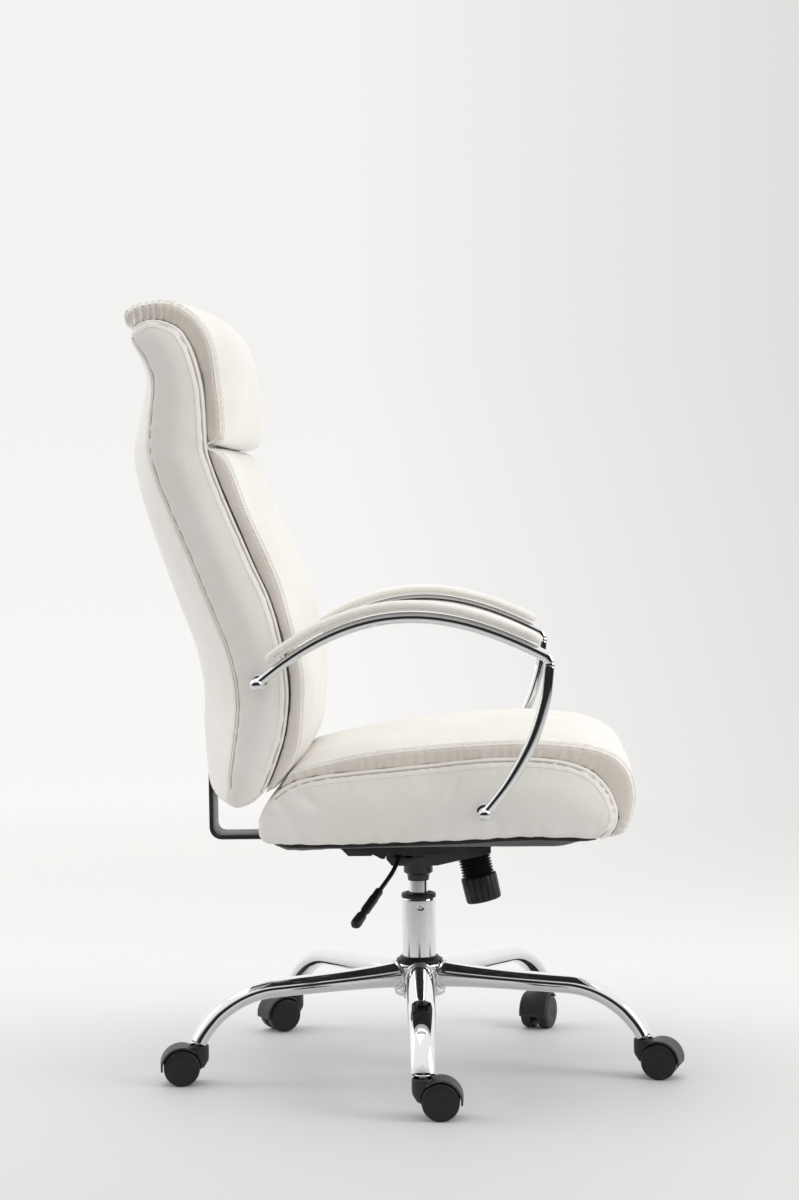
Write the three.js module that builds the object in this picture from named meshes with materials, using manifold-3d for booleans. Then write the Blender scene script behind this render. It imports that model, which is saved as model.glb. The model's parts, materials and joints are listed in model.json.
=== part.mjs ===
// High-back swivel office chair on a five-leg caster base.
// Millimetres, +Z up. The sitter faces -Y and the sitter's right side is -X.
// Side outlines are written as [forward, height] pairs: forward runs along -Y from the gas lift's
// axis, and height is counted from the floor for the base and from `seatBottom` for the seat and back.
import * as THREE from "three";
import { mergeVertices } from "three/addons/utils/BufferGeometryUtils.js";
import Module from "manifold-3d";

const wasm = await Module();
wasm.setup();

// ---------------------------------------------------------------- driving dimensions
const GAP = 0.3; // between pieces that touch
const RUNNING_GAP = 0.6; // around pieces that turn or slide in another
const SOFT_GAP = 1.2; // between neighbouring cushions

const legCount = 5;
const legReach = 338.7; // from the lift axis to a caster's stem
const baseYaw = 2.3; // degrees by which the base is turned under the seat
const casterHeadings = [-90, -105, 157, 121, 98]; // direction of each caster's trail, degrees from +X

const wheelRadius = 26.4;
const wheelWidth = 17;
const wheelSides = 18;
const casterTrail = 24;
const webWidth = 9; // middle web of the caster body, between its two wheels
const axleRadius = 3;
const stemRadius = 5.5;
const hoodWall = 2.6;
const neckRadius = 15;

const hubWall = 12.5;
const hubHeight = 59;
const hubClearance = 69.5; // underside of the hub above the wheel axles
const collarHeight = 8;
const tubeRadius = 25;
const hubRadius = tubeRadius + hubWall;
const tubeWall = 2.5;
const tubeRise = 93.6; // lift tube above the hub's collar
const bushFlange = 10;
const bushLength = 50;
const cylinderRadius = 14;
const pistonRodRadius = 5;
const heightTravel = 100;
const liftGap = 18.3; // polished cylinder that shows at the lowest height
const bossHeight = 28; // taper boss under the mechanism, which grips the cylinder
const bossRadius = cylinderRadius + 7.5;
const bossTipRadius = cylinderRadius + 1.5;

const housingHalfWidth = 50;
const plateWidth = 190;
const plateLength = 275;
const plateRear = -150;
const pivotRadius = 6;
const flangeGap = 1;
const sheetSteel = 3;

const knobRadius = 25.5;
const knobHeight = 37;
const knobFlutes = 18;
const bellowsRadius = 24;
const bellowsRibs = 7;
const ribPitch = 4.3;
const knobTilt = 12.5; // degrees that the knob's lower end leans forward

const leverRadius = 3;
const seatWidth = 530;
const seatTopWidth = seatWidth - 30; // top cushion between its side seams
const seatCrown = 19;
const boardThickness = 12;
const liningThickness = 1.5;
const backWidth = 524;
const backCushionWidth = backWidth - 44;
const backCrown = 20; // how far the back cushion's middle stands out from its edges
const headCrown = 35;
const rearCrown = 78; // how far the rear panel's middle bulges
const bracketWidth = 70;
const bracketThickness = 6;

const armStandoff = 30;
const armOffset = Math.max(seatWidth, backWidth) / 2 + armStandoff; // tube centre from the middle plane
const armTubeRadius = 8;
const armEndRadius = 6;
const padThickness = 16;
const padWidth = 50;

// ---------------------------------------------------------------- heights that follow from them
const axleHeight = wheelRadius * Math.cos(Math.PI / wheelSides); // the wheels stand on a flat facet
const hoodRadius = wheelRadius + 1.5 + hoodWall;
const hoodTop = axleHeight + hoodRadius;
const legEnd = hoodTop + 3.3;
const hubBottom = axleHeight + hubClearance;
const hubTop = hubBottom + hubHeight;
const collarTop = hubTop + GAP + collarHeight;
const tubeTop = collarTop + tubeRise;
const bossBottom = tubeTop + liftGap;
const housingBottom = bossBottom + bossHeight;
const pivotForward = 19;
const pivotHeight = housingBottom + 24.5;
const plateTop = housingBottom + 45.2;
const boardBottom = plateTop + liningThickness + 2 * GAP;
const seatBottom = boardBottom + boardThickness + SOFT_GAP;

// ---------------------------------------------------------------- geometry helpers
const radians = THREE.MathUtils.degToRad;

// A closed geometry as a manifold solid.
function toSolid(geometry) {
  const bare = geometry.clone();
  bare.deleteAttribute("normal");
  bare.deleteAttribute("uv");
  const merged = mergeVertices(bare, 1e-3);
  return new wasm.Manifold(
    new wasm.Mesh({
      numProp: 3,
      vertProperties: merged.attributes.position.array,
      triVerts: new Uint32Array(merged.index.array),
    }),
  );
}

function toGeometry(solid) {
  const mesh = solid.getMesh();
  const geometry = new THREE.BufferGeometry();
  geometry.setAttribute("position", new THREE.BufferAttribute(mesh.vertProperties, 3));
  geometry.setIndex(new THREE.BufferAttribute(mesh.triVerts, 1));
  geometry.computeVertexNormals();
  return geometry;
}

// Joins the first solid with the rest of `added`, then cuts away `removed`.
function combine(added, removed = []) {
  let result = toSolid(added[0]);
  for (const geometry of added.slice(1)) result = result.add(toSolid(geometry));
  for (const geometry of removed) result = result.subtract(toSolid(geometry));
  return toGeometry(result);
}

// Body of revolution about +Z. The profile holds [radius, height] pairs, counter-clockwise.
function turned(profile, sides = 32) {
  const points = profile.map(([radius, height]) => new THREE.Vector2(radius, height));
  const closed = points[0].x > 0 ? [...points, points[0].clone()] : points;
  return new THREE.LatheGeometry(closed, sides).rotateX(Math.PI / 2);
}

function upright(radius, low, high, sides = 32) {
  const geometry = new THREE.CylinderGeometry(radius, radius, high - low, sides);
  return geometry.rotateX(Math.PI / 2).translate(0, 0, (low + high) / 2);
}

function ring(outer, inner, low, high, sides = 32) {
  return turned([[inner, low], [outer, low], [outer, high], [inner, high]], sides);
}

// A cylinder along X, centred on a side-view point.
function crosswise(radius, left, right, forward, height, sides = 24) {
  const geometry = new THREE.CylinderGeometry(radius, radius, right - left, sides);
  return geometry.rotateZ(Math.PI / 2).translate((left + right) / 2, -forward, height);
}

function block(width, depth, height, x, y, z) {
  return new THREE.BoxGeometry(width, depth, height).translate(x, y, z);
}

// Turns (forward, height, rightward) coordinates into the chair's own frame.
const sideFrame = new THREE.Matrix4().makeBasis(
  new THREE.Vector3(0, -1, 0),
  new THREE.Vector3(0, 0, 1),
  new THREE.Vector3(-1, 0, 0),
);

// A side outline pushed out across the chair, between two distances right of the middle plane.
function acrossChair(outline, from, to) {
  const shape = new THREE.Shape(outline.map(([forward, height]) => new THREE.Vector2(forward, height)));
  const geometry = new THREE.ExtrudeGeometry(shape, { depth: to - from, bevelEnabled: false });
  return geometry.translate(0, 0, from).applyMatrix4(sideFrame);
}

// Evenly spaced [forward, height] points along a smooth open curve through the given ones.
function smooth(points, count) {
  const curve = new THREE.SplineCurve(points.map(([a, b]) => new THREE.Vector2(a, b)));
  return curve.getSpacedPoints(count).map((point) => [point.x, point.y]);
}

// Moves each point of an open line to its left by distanceAt(i).
function offsetLine(line, distanceAt) {
  return line.map((point, i) => {
    const distance = distanceAt(i);
    const before = line[Math.max(i - 1, 0)];
    const after = line[Math.min(i + 1, line.length - 1)];
    const along = [after[0] - before[0], after[1] - before[1]];
    const length = Math.hypot(along[0], along[1]);
    return [point[0] - (along[1] / length) * distance, point[1] + (along[0] / length) * distance];
  });
}

// A closed body through rings of equally many points, counter-clockwise as seen from the last ring's
// side. `capOutline` is an end ring drawn flat, with its points in the same order.
function loft(rings, capOutline) {
  const size = rings[0].length;
  const positions = rings.flat().flatMap((point) => [point.x, point.y, point.z]);
  const indices = [];
  for (let r = 0; r + 1 < rings.length; r++) {
    for (let i = 0; i < size; i++) {
      const next = (i + 1) % size;
      const [a, b, c, d] = [r * size + i, r * size + next, (r + 1) * size + next, (r + 1) * size + i];
      indices.push(a, b, c, a, c, d);
    }
  }
  const lastRing = (rings.length - 1) * size;
  const flat = capOutline.map(([u, v]) => new THREE.Vector2(u, v));
  for (const [a, b, c] of THREE.ShapeUtils.triangulateShape(flat, [])) {
    indices.push(a, c, b);
    indices.push(lastRing + a, lastRing + b, lastRing + c);
  }
  const geometry = new THREE.BufferGeometry();
  geometry.setAttribute("position", new THREE.Float32BufferAttribute(positions, 3));
  geometry.setIndex(indices);
  geometry.computeVertexNormals();
  return geometry;
}

// A bent bar: elliptical sections at centres along a curve. sectionAt(t) gives the half width along
// `sideways` and the half height across it.
function sweep(centres, sideways, sectionAt, sides = 12) {
  const unit = Array.from({ length: sides }, (_, i) => {
    const angle = (2 * Math.PI * (i + 0.5)) / sides;
    return [Math.cos(angle), Math.sin(angle)];
  });
  const rings = centres.map((centre, i) => {
    const before = centres[Math.max(i - 1, 0)];
    const after = centres[Math.min(i + 1, centres.length - 1)];
    const along = after.clone().sub(before).normalize();
    const side = sideways(i / (centres.length - 1)).clone();
    side.addScaledVector(along, -side.dot(along)).normalize();
    const up = along.clone().cross(side);
    const [halfWidth, halfHeight] = sectionAt(i / (centres.length - 1));
    return unit.map(([u, v]) =>
      centre.clone().addScaledVector(side, u * halfWidth).addScaledVector(up, v * halfHeight),
    );
  });
  return loft(rings, unit);
}

const colours = {
  chrome: { color: 0xc9ccd0, roughness: 0.12, metalness: 1 },
  steel: { color: 0x8d9094, roughness: 0.35, metalness: 1 },
  blackSteel: { color: 0x1b1b1c, roughness: 0.5, metalness: 0.4 },
  blackPlastic: { color: 0x232324, roughness: 0.55, metalness: 0 },
  wheelPlastic: { color: 0x1c1c1e, roughness: 0.45, metalness: 0 },
  leather: { color: 0xeceae6, roughness: 0.45, metalness: 0 },
  lining: { color: 0x151515, roughness: 0.95, metalness: 0 },
  plywood: { color: 0xb08d5f, roughness: 0.8, metalness: 0 },
};

function piece(name, geometry, look) {
  const mesh = new THREE.Mesh(geometry, new THREE.MeshStandardMaterial(colours[look]));
  mesh.name = name;
  return mesh;
}

// ---------------------------------------------------------------- base
const legEndDrop = 61; // degrees below level at the leg's outer end
const legBendRadius = 132;
const legBendStart = legReach - 117;
const legMiddle = legEnd + 70; // height of the leg's centre line where it starts to bend
const legRootHeight = hubBottom + hubHeight * 0.69;

function legCentres() {
  const centres = [];
  const straightSteps = 4;
  const bendSteps = 7;
  const root = hubRadius - 3;
  for (let i = 0; i < straightSteps; i++) {
    const t = i / straightSteps;
    centres.push([root + (legBendStart - root) * t, legRootHeight + (legMiddle - legRootHeight) * t]);
  }
  for (let i = 0; i <= bendSteps; i++) {
    const angle = radians((legEndDrop * i) / bendSteps);
    centres.push([
      legBendStart + legBendRadius * Math.sin(angle),
      legMiddle - legBendRadius * (1 - Math.cos(angle)),
    ]);
  }
  const [lastReach, lastHeight] = centres[centres.length - 1];
  const runOut = 16;
  centres.push([
    lastReach + runOut * Math.cos(radians(legEndDrop + 8)),
    lastHeight - runOut * Math.sin(radians(legEndDrop + 8)),
  ]);
  return centres.map(([reach, height]) => new THREE.Vector3(reach, 0, height));
}

// Round at the hub, pressed flatter and wider in the middle, round again at the caster.
function legSection(t) {
  const flattening = Math.sin(Math.PI * Math.min(t * 1.15, 1)) ** 0.7;
  return [19 + 3 * flattening - 1.5 * t, 20 * (1 - t) + 11.5 * t - 5 * flattening * (1 - t)];
}

function legGeometry() {
  const bar = sweep(legCentres(), () => new THREE.Vector3(0, 1, 0), legSection, 10);
  return combine(
    [bar],
    [
      upright(hubRadius + GAP, hubBottom - 20, hubTop + 20, 28),
      block(80, 80, 60, legReach, 0, legEnd - 30),
      upright(stemRadius + RUNNING_GAP, legEnd - 5, legEnd + 16, 10).translate(legReach, 0, 0),
    ],
  );
}

function base() {
  const group = new THREE.Group();
  group.rotation.z = Math.PI + radians(baseYaw);
  group.add(piece("base_hub", ring(hubRadius, tubeRadius + GAP, hubBottom, hubTop, 28), "chrome"));
  const collar = ring(hubRadius - 4, tubeRadius + GAP, hubTop + GAP, collarTop, 24);
  group.add(piece("hub_collar", collar, "blackPlastic"));
  for (let i = 0; i < legCount; i++) {
    const leg = piece(`base_leg_${i + 1}`, legGeometry(), "chrome");
    leg.rotation.z = (2 * Math.PI * i) / legCount;
    group.add(leg);
  }
  return group;
}

// ---------------------------------------------------------------- casters
const halfWeb = webWidth / 2;
const wheelCentre = halfWeb + 1 + wheelWidth / 2; // from the caster's middle plane
const hoodHalfWidth = wheelCentre + wheelWidth / 2 - 0.5;
const blindBore = wheelWidth / 2 - 4;

// A disc-faced wheel about +Y whose bore is open towards its -Y side.
function wheelGeometry() {
  const bevel = 2;
  const half = wheelWidth / 2;
  const bore = axleRadius + GAP;
  const profile = [
    [0, blindBore],
    [bore, blindBore],
    [bore, -half],
    [wheelRadius, -half],
    [wheelRadius, half - bevel],
    [wheelRadius - bevel, half],
    [0, half],
  ];
  return turned(profile, wheelSides).rotateZ(Math.PI / wheelSides).rotateX(-Math.PI / 2);
}

// Cover over the wheels, drum round the stem and web between the wheels, as one moulding.
// Local frame: the stem on Z, the wheels towards +X.
function casterHoodGeometry() {
  const cover = new THREE.Shape();
  cover.absarc(0, 0, hoodRadius, radians(-8), radians(130), false);
  cover.absarc(0, 0, wheelRadius + 1.5, radians(130), radians(-8), true);
  const extrude = (shape, halfWidth, segments) =>
    new THREE.ExtrudeGeometry(shape, { depth: 2 * halfWidth, bevelEnabled: false, curveSegments: segments })
      .translate(0, 0, -halfWidth)
      .rotateX(Math.PI / 2)
      .translate(casterTrail, 0, axleHeight);
  const web = new THREE.Shape();
  web.absarc(0, 0, wheelRadius, radians(30), radians(225), false);
  web.lineTo(0, -axleRadius - 5);
  const drumTop = hoodTop - 0.8;
  const drumBottom = axleHeight - 3;
  const roundedDrum = turned(
    [
      [0, drumBottom],
      [neckRadius - 8, drumBottom],
      [neckRadius - 2, drumBottom + 7],
      [neckRadius, drumBottom + 14],
      [neckRadius, drumTop],
      [0, drumTop],
    ],
    12,
  );
  const wheelRoom = (side) =>
    new THREE.CylinderGeometry(wheelRadius + 1.5, wheelRadius + 1.5, 40, 16).translate(
      casterTrail,
      side * (20 + halfWeb),
      axleHeight,
    );
  const axleHole = new THREE.CylinderGeometry(axleRadius + 2 * GAP, axleRadius + 3 * GAP, 60, 8);
  return combine(
    [extrude(cover, hoodHalfWidth, 6), extrude(web, halfWeb, 4), roundedDrum],
    [
      wheelRoom(1),
      wheelRoom(-1),
      axleHole.translate(casterTrail, 0, axleHeight),
      upright(stemRadius + RUNNING_GAP, axleHeight + 12, hoodTop + 5, 10),
    ],
  );
}

function caster(number) {
  const group = new THREE.Group();
  const name = `caster_${number}`;
  const stem = upright(stemRadius, axleHeight + 13, legEnd + 14, 10);
  group.add(piece(`${name}_stem`, stem, "steel"));
  group.add(piece(`${name}_hood`, casterHoodGeometry(), "blackPlastic"));
  const axleHalf = wheelCentre + blindBore - GAP;
  const axle = new THREE.CylinderGeometry(axleRadius, axleRadius, 2 * axleHalf, 8);
  group.add(piece(`${name}_axle`, axle.translate(casterTrail, 0, axleHeight), "steel"));
  for (const [label, side] of [["a", 1], ["b", -1]]) {
    const wheel = piece(`${name}_wheel_${label}`, wheelGeometry(), "wheelPlastic");
    wheel.position.set(casterTrail, side * wheelCentre, axleHeight);
    wheel.rotation.z = side > 0 ? 0 : Math.PI;
    group.add(wheel);
  }
  return group;
}

function casters() {
  const group = new THREE.Group();
  for (let i = 0; i < legCount; i++) {
    const angle = Math.PI + radians(baseYaw) + (2 * Math.PI * i) / legCount;
    const unit = caster(i + 1);
    unit.position.set(legReach * Math.cos(angle), legReach * Math.sin(angle), 0);
    unit.rotation.z = radians(casterHeadings[i]);
    group.add(unit);
  }
  return group;
}

// ---------------------------------------------------------------- gas lift
const tubeFloor = 3;
const tubeBottom = hubBottom + 4.4;
const cylinderBottom = tubeBottom + tubeFloor + 9;
const cylinderTop = housingBottom + 9.5;
const buttonTop = cylinderTop + 6;
const buttonSeat = cylinderTop - 15;
const pistonLevel = cylinderBottom + heightTravel + 12;
const pistonHeight = 10;

function gasLift() {
  const group = new THREE.Group();
  const innerTube = tubeRadius - tubeWall;
  const bushBottom = tubeTop - bushFlange - GAP;
  const tube = [
    [pistonRodRadius + RUNNING_GAP, tubeBottom],
    [tubeRadius - 0.7, tubeBottom],
    [tubeRadius, hubTop],
    [tubeRadius, bushBottom],
    [innerTube, bushBottom],
    [innerTube, tubeBottom + tubeFloor],
    [pistonRodRadius + RUNNING_GAP, tubeBottom + tubeFloor],
  ];
  group.add(piece("lift_outer_tube", turned(tube, 24), "chrome"));
  const bush = [
    [cylinderRadius + RUNNING_GAP, tubeTop - bushFlange - bushLength],
    [innerTube - GAP, tubeTop - bushFlange - bushLength],
    [innerTube - GAP, tubeTop - bushFlange],
    [tubeRadius, tubeTop - bushFlange],
    [tubeRadius, tubeTop],
    [cylinderRadius + RUNNING_GAP, tubeTop],
  ];
  group.add(piece("lift_top_bush", turned(bush, 24), "blackPlastic"));
  const boreRadius = cylinderRadius - 2;
  const cylinder = [
    [0, buttonSeat - 24],
    [boreRadius, buttonSeat - 24],
    [boreRadius, cylinderBottom + 6],
    [pistonRodRadius + RUNNING_GAP, cylinderBottom + 6],
    [pistonRodRadius + RUNNING_GAP, cylinderBottom],
    [cylinderRadius, cylinderBottom],
    [cylinderRadius, bossBottom],
    [cylinderRadius - 0.8, cylinderTop],
    [4.5 + GAP, cylinderTop],
    [4.5 + GAP, buttonSeat],
    [0, buttonSeat],
  ];
  group.add(piece("gas_cylinder", turned(cylinder, 20), "steel"));
  const clipBottom = tubeBottom - 3;
  const rod = [
    [0, clipBottom],
    [pistonRodRadius, clipBottom],
    [pistonRodRadius, pistonLevel],
    [boreRadius - RUNNING_GAP, pistonLevel],
    [boreRadius - RUNNING_GAP, pistonLevel + pistonHeight],
    [0, pistonLevel + pistonHeight],
  ];
  group.add(piece("piston_rod", turned(rod, 12), "steel"));
  const clip = ring(pistonRodRadius + 4, pistonRodRadius + GAP, clipBottom, clipBottom + 2, 16);
  group.add(piece("retaining_clip", clip, "blackSteel"));
  group.add(piece("release_button", upright(4.5, buttonSeat + 7, buttonTop, 16), "blackPlastic"));
  return group;
}

// ---------------------------------------------------------------- tilt mechanism
const leverHeight = buttonTop + GAP + leverRadius;
const knobAxisForward = 81.5;
const frontPlateSlope = Math.tan(radians(knobTilt));
const frontPlateHeight = (forward) => housingBottom + 5 + (forward - 53) * frontPlateSlope;

function housingGeometry() {
  const floor = [
    [-37, housingBottom],
    [30, housingBottom],
    [53, frontPlateHeight(53)],
    [108, frontPlateHeight(108)],
  ];
  const rim = [
    [108, pivotHeight + 12],
    [pivotForward, pivotHeight + 12],
    [-20, pivotHeight + 4],
    [-45, pivotHeight - 4],
    [-45, housingBottom + 10],
  ];
  const inside = floor.map(([forward, height]) => [forward, height + sheetSteel]);
  inside[0][0] += sheetSteel;
  inside[3][0] -= sheetSteel;
  const opening = [
    ...inside,
    [108 - sheetSteel, pivotHeight + 40],
    [-45 + sheetSteel, pivotHeight + 40],
    [-45 + sheetSteel, housingBottom + 12],
  ];
  const taper = turned(
    [
      [0, bossBottom],
      [bossTipRadius, bossBottom],
      [bossTipRadius + 1, bossBottom + 9],
      [bossRadius, bossBottom + 12],
      [bossRadius, housingBottom + 1],
      [0, housingBottom + 1],
    ],
    32,
  );
  const pinHole = pivotRadius + RUNNING_GAP;
  const boltHole = knobAligned(upright(boltRadius + GAP, -20, 30, 16));
  return combine(
    [acrossChair([...floor, ...rim], -housingHalfWidth, housingHalfWidth), taper],
    [
      acrossChair(opening, sheetSteel - housingHalfWidth, housingHalfWidth - sheetSteel),
      upright(cylinderRadius + GAP, bossBottom - 5, housingBottom + 10, 32),
      crosswise(pinHole, -70, 70, pivotForward, pivotHeight),
      block(30, 24, 14, -housingHalfWidth, 20, leverHeight),
      boltHole,
    ],
  );
}

// The moving upper channel: seat plate with a flange down each side of the housing.
function tiltPlateGeometry() {
  const plateBottom = plateTop - sheetSteel - 0.5;
  const thickness = plateTop - plateBottom;
  const plate = block(plateWidth, plateLength, thickness, 0, -plateRear - plateLength / 2, 0);
  plate.translate(0, 0, plateBottom + thickness / 2);
  const bossReach = pivotRadius + 4.5;
  const flange = [
    [-108, plateBottom + 1],
    [-108, pivotHeight - 1],
    [-100, pivotHeight - 9],
    [-66, pivotHeight - 9],
    [-52, plateBottom - 4],
    [pivotForward - 18, plateBottom - 4],
    [pivotForward - bossReach, pivotHeight],
    [pivotForward - bossReach * 0.7, pivotHeight - bossReach * 0.7],
    [pivotForward, pivotHeight - bossReach],
    [pivotForward + bossReach * 0.7, pivotHeight - bossReach * 0.7],
    [pivotForward + bossReach, pivotHeight],
    [pivotForward + 18, plateBottom + 1],
  ];
  const inner = housingHalfWidth + flangeGap;
  return combine(
    [plate, acrossChair(flange, inner, inner + sheetSteel), acrossChair(flange, -inner - sheetSteel, -inner)],
    [crosswise(pivotRadius + GAP, -80, 80, pivotForward, pivotHeight)],
  );
}

const boltRadius = 4;
const bellowsTop = -2;
const bellowsLength = bellowsRibs * ribPitch;
const knobTop = bellowsTop - bellowsLength - 1;

// Places a body made on +Z onto the knob's axis, with its zero under the housing's sloping floor.
function knobAligned(geometry) {
  return geometry
    .rotateX(radians(-knobTilt))
    .translate(0, -knobAxisForward, frontPlateHeight(knobAxisForward));
}

// Thin accordion sleeve, closed at the top round the bolt and open over the knob.
function bellowsGeometry() {
  const valley = bellowsRadius - 3.5;
  const wall = 1.6;
  const outer = [];
  for (let i = 0; i < bellowsRibs; i++) {
    const low = bellowsTop - bellowsLength + i * ribPitch;
    outer.push([valley, low], [bellowsRadius, low + ribPitch / 2]);
  }
  const inner = [
    [bellowsRadius - 6, bellowsTop - wall],
    [bellowsRadius - 6, bellowsTop - bellowsLength],
  ];
  const bore = boltRadius + RUNNING_GAP;
  const profile = [...outer, [valley, bellowsTop], [bore, bellowsTop], [bore, bellowsTop - wall], ...inner];
  return knobAligned(turned(profile, 12));
}

function springGeometry() {
  const turns = 4;
  const wire = 1.6;
  const coilRadius = 11;
  const low = knobTop + wire + 1;
  const high = bellowsTop - 1.6 - wire - 1;
  const steps = turns * 8;
  const centres = Array.from({ length: steps + 1 }, (_, i) => {
    const angle = (2 * Math.PI * turns * i) / steps;
    const height = low + ((high - low) * i) / steps;
    return new THREE.Vector3(coilRadius * Math.cos(angle), coilRadius * Math.sin(angle), height);
  });
  const vertical = () => new THREE.Vector3(0, 0, 1);
  return knobAligned(sweep(centres, vertical, () => [wire, wire], 5));
}

function knobGeometry() {
  const outline = new THREE.Shape();
  const steps = knobFlutes * 3;
  for (let i = 0; i < steps; i++) {
    const angle = (2 * Math.PI * i) / steps;
    const radius = knobRadius - (i % 3 === 0 ? 1.4 : 0);
    outline[i ? "lineTo" : "moveTo"](radius * Math.cos(angle), radius * Math.sin(angle));
  }
  outline.closePath();
  const dome = 2.5;
  const body = new THREE.ExtrudeGeometry(outline, {
    depth: knobHeight - 2 * dome,
    bevelThickness: dome,
    bevelSize: dome,
    bevelOffset: -dome,
    bevelSegments: 1,
  }).translate(0, 0, knobTop - knobHeight + dome);
  const hole = upright(boltRadius + RUNNING_GAP, knobTop - 22, knobTop + 5, 16);
  return knobAligned(combine([body], [hole]));
}

function boltGeometry() {
  const headBottom = sheetSteel + 2.5;
  const bolt = turned(
    [
      [0, knobTop - 18],
      [boltRadius, knobTop - 18],
      [boltRadius, headBottom],
      [7, headBottom],
      [7, headBottom + 5],
      [0, headBottom + 5],
    ],
    16,
  );
  return knobAligned(bolt);
}

function mechanism() {
  const group = new THREE.Group();
  group.add(piece("mechanism_housing", housingGeometry(), "blackSteel"));
  group.add(piece("tilt_plate", tiltPlateGeometry(), "blackSteel"));
  const pinEnd = housingHalfWidth + flangeGap + sheetSteel + 3;
  const pin = crosswise(pivotRadius, -pinEnd, pinEnd, pivotForward, pivotHeight);
  group.add(piece("tilt_pivot_pin", pin, "steel"));
  group.add(piece("tension_bolt", boltGeometry(), "steel"));
  group.add(piece("tension_spring", springGeometry(), "steel"));
  group.add(piece("tension_bellows", bellowsGeometry(), "blackPlastic"));
  group.add(piece("tension_knob", knobGeometry(), "blackPlastic"));
  return group;
}

// The lever runs out of the housing's right wall to a flat grip that droops outwards and back.
const leverBushReach = housingHalfWidth;

function leverRoute() {
  const inside = leverHeight;
  return [
    [4, -14, inside],
    [-20, leverBushReach, inside],
    [-24, leverBushReach + 14, inside - 1],
    [-29, leverBushReach + 30, inside - 12],
    [-36, leverBushReach + 48, inside - 24],
    [-54, leverBushReach + 80, inside - 46],
  ].map(([forward, rightward, height]) => new THREE.Vector3(-rightward, -forward, height));
}

function lever() {
  const group = new THREE.Group();
  const route = new THREE.CatmullRomCurve3(leverRoute(), false, "chordal");
  const centres = route.getSpacedPoints(12);
  const rod = sweep(centres, () => new THREE.Vector3(0, 1, 0), () => [leverRadius, leverRadius], 8);
  group.add(piece("lever_rod", rod, "blackSteel"));
  const start = route.getPoint(1);
  const direction = route.getTangent(1);
  const gripLength = 74;
  const grip = [0, 0.06, 0.35, 0.8, 0.95, 1].map((t) =>
    start.clone().addScaledVector(direction, GAP + gripLength * t),
  );
  const halfWidths = [4, 6, 6.5, 8, 7, 4];
  const gripSection = (t) => [halfWidths[Math.round(t * 5)], t < 1 ? 4 : 3];
  const gripBody = sweep(grip, () => new THREE.Vector3(0, 1, 0), gripSection, 10);
  group.add(piece("lever_grip", gripBody, "blackPlastic"));
  const bush = ring(6, leverRadius + 0.8, -4, 4, 12).rotateY(Math.PI / 2);
  const bushSlope = Math.atan2(20, leverBushReach + 2);
  bush.rotateZ(-bushSlope).translate(-leverBushReach, 20, leverHeight);
  group.add(piece("lever_bush", bush, "blackPlastic"));
  return group;
}

// ---------------------------------------------------------------- seat and back, soft pieces
// Height above the seat's underside, as part of an outline.
const above = (points) => points.map(([forward, height]) => [forward, seatBottom + height]);

// The back narrows evenly from its lower edge to its top.
const backNarrowing = 0.05;
const backBottom = 50;
const backTop = 755;
function backTaper(height) {
  const rise = (height - seatBottom - backBottom) / (backTop - backBottom);
  return 1 - backNarrowing * THREE.MathUtils.clamp(rise, 0, 1);
}

// A soft body across the chair. `fixed` is the line where it meets its neighbour and `free` its outer
// face, which follow each other counter-clockwise. The free face bulges by `crown` in the `towards`
// direction at the middle, and is drawn in by `edge` at both sides.
function cushionGeometry({ width, fixed, free, crown, towards, along, edge, taper = () => 1 }) {
  const stations = [-1, -0.96, -0.6, 0, 0.6, 0.96, 1];
  const share = (i) => i / (free.length - 1);
  const outlineAt = (t) => {
    const bulge = crown * (1 - Math.abs(t) ** 2.4);
    const drawnIn = Math.abs(t) === 1 ? edge : 0;
    const face = offsetLine(free, (i) => drawnIn * Math.sin(Math.PI * share(i)) ** 0.5);
    return [
      ...fixed,
      ...face.map(([forward, height], i) => [
        forward + towards[0] * bulge * along(share(i)),
        height + towards[1] * bulge * along(share(i)),
      ]),
    ];
  };
  const halfWidthAt = (height) => (width / 2) * taper(height);
  const rings = stations.map((t) =>
    outlineAt(t).map(([forward, height]) => new THREE.Vector3(-t * halfWidthAt(height), -forward, height)),
  );
  return loft(rings, outlineAt(1));
}

const fullInMiddle = (s) => Math.sin(Math.PI * s) ** 0.5;

// The welt where the lower and the upper seat cushion meet, from the back round to the front.
const seatWelt = smooth(
  above([[-166, 87], [-127, 96], [43, 111], [155, 118], [230, 109], [276, 84], [297, 42], [289, 14]]),
  16,
);
const seatUnder = smooth(
  above([[-184, 70], [-207, 42], [-204, 10], [-150, 1], [50, 1], [250, 1], [280, 5]]),
  14,
);
const seatFace = smooth(
  above([
    [-168, 103],
    [-71, 122],
    [43, 135],
    [156, 140],
    [231, 135],
    [284, 118],
    [309, 85],
    [312, 50],
    [302, 24],
  ]),
  18,
);

// The line along which the upholstered shell meets the cushions in front of it, from below upwards.
const shellFrontLow = smooth(
  above([[-204, 71], [-174, 157], [-168, 216], [-176, 277], [-211, 381], [-255, 487], [-277, 553]]),
  14,
);
const shellFrontHigh = smooth(above([[-277, 553], [-281, 629], [-300, 697], [-343, 730], [-376, 723]]), 8);
const shellRear = smooth(
  above([
    [-373, 711],
    [-351, 650],
    [-358, 574],
    [-337, 481],
    [-255, 281],
    [-240, 197],
    [-251, 104],
    [-255, 64],
    [-236, 50],
    [-212, 57],
  ]),
  16,
);
const lumbarFace = smooth(
  above([
    [-184, 97],
    [-162, 130],
    [-150, 174],
    [-149, 225],
    [-165, 315],
    [-200, 415],
    [-236, 501],
    [-258, 553],
  ]),
  12,
);
const headFace = smooth(
  above([[-260, 562], [-262, 640], [-269, 697], [-292, 735], [-335, 756], [-372, 753], [-392, 740]]),
  12,
);

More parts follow.
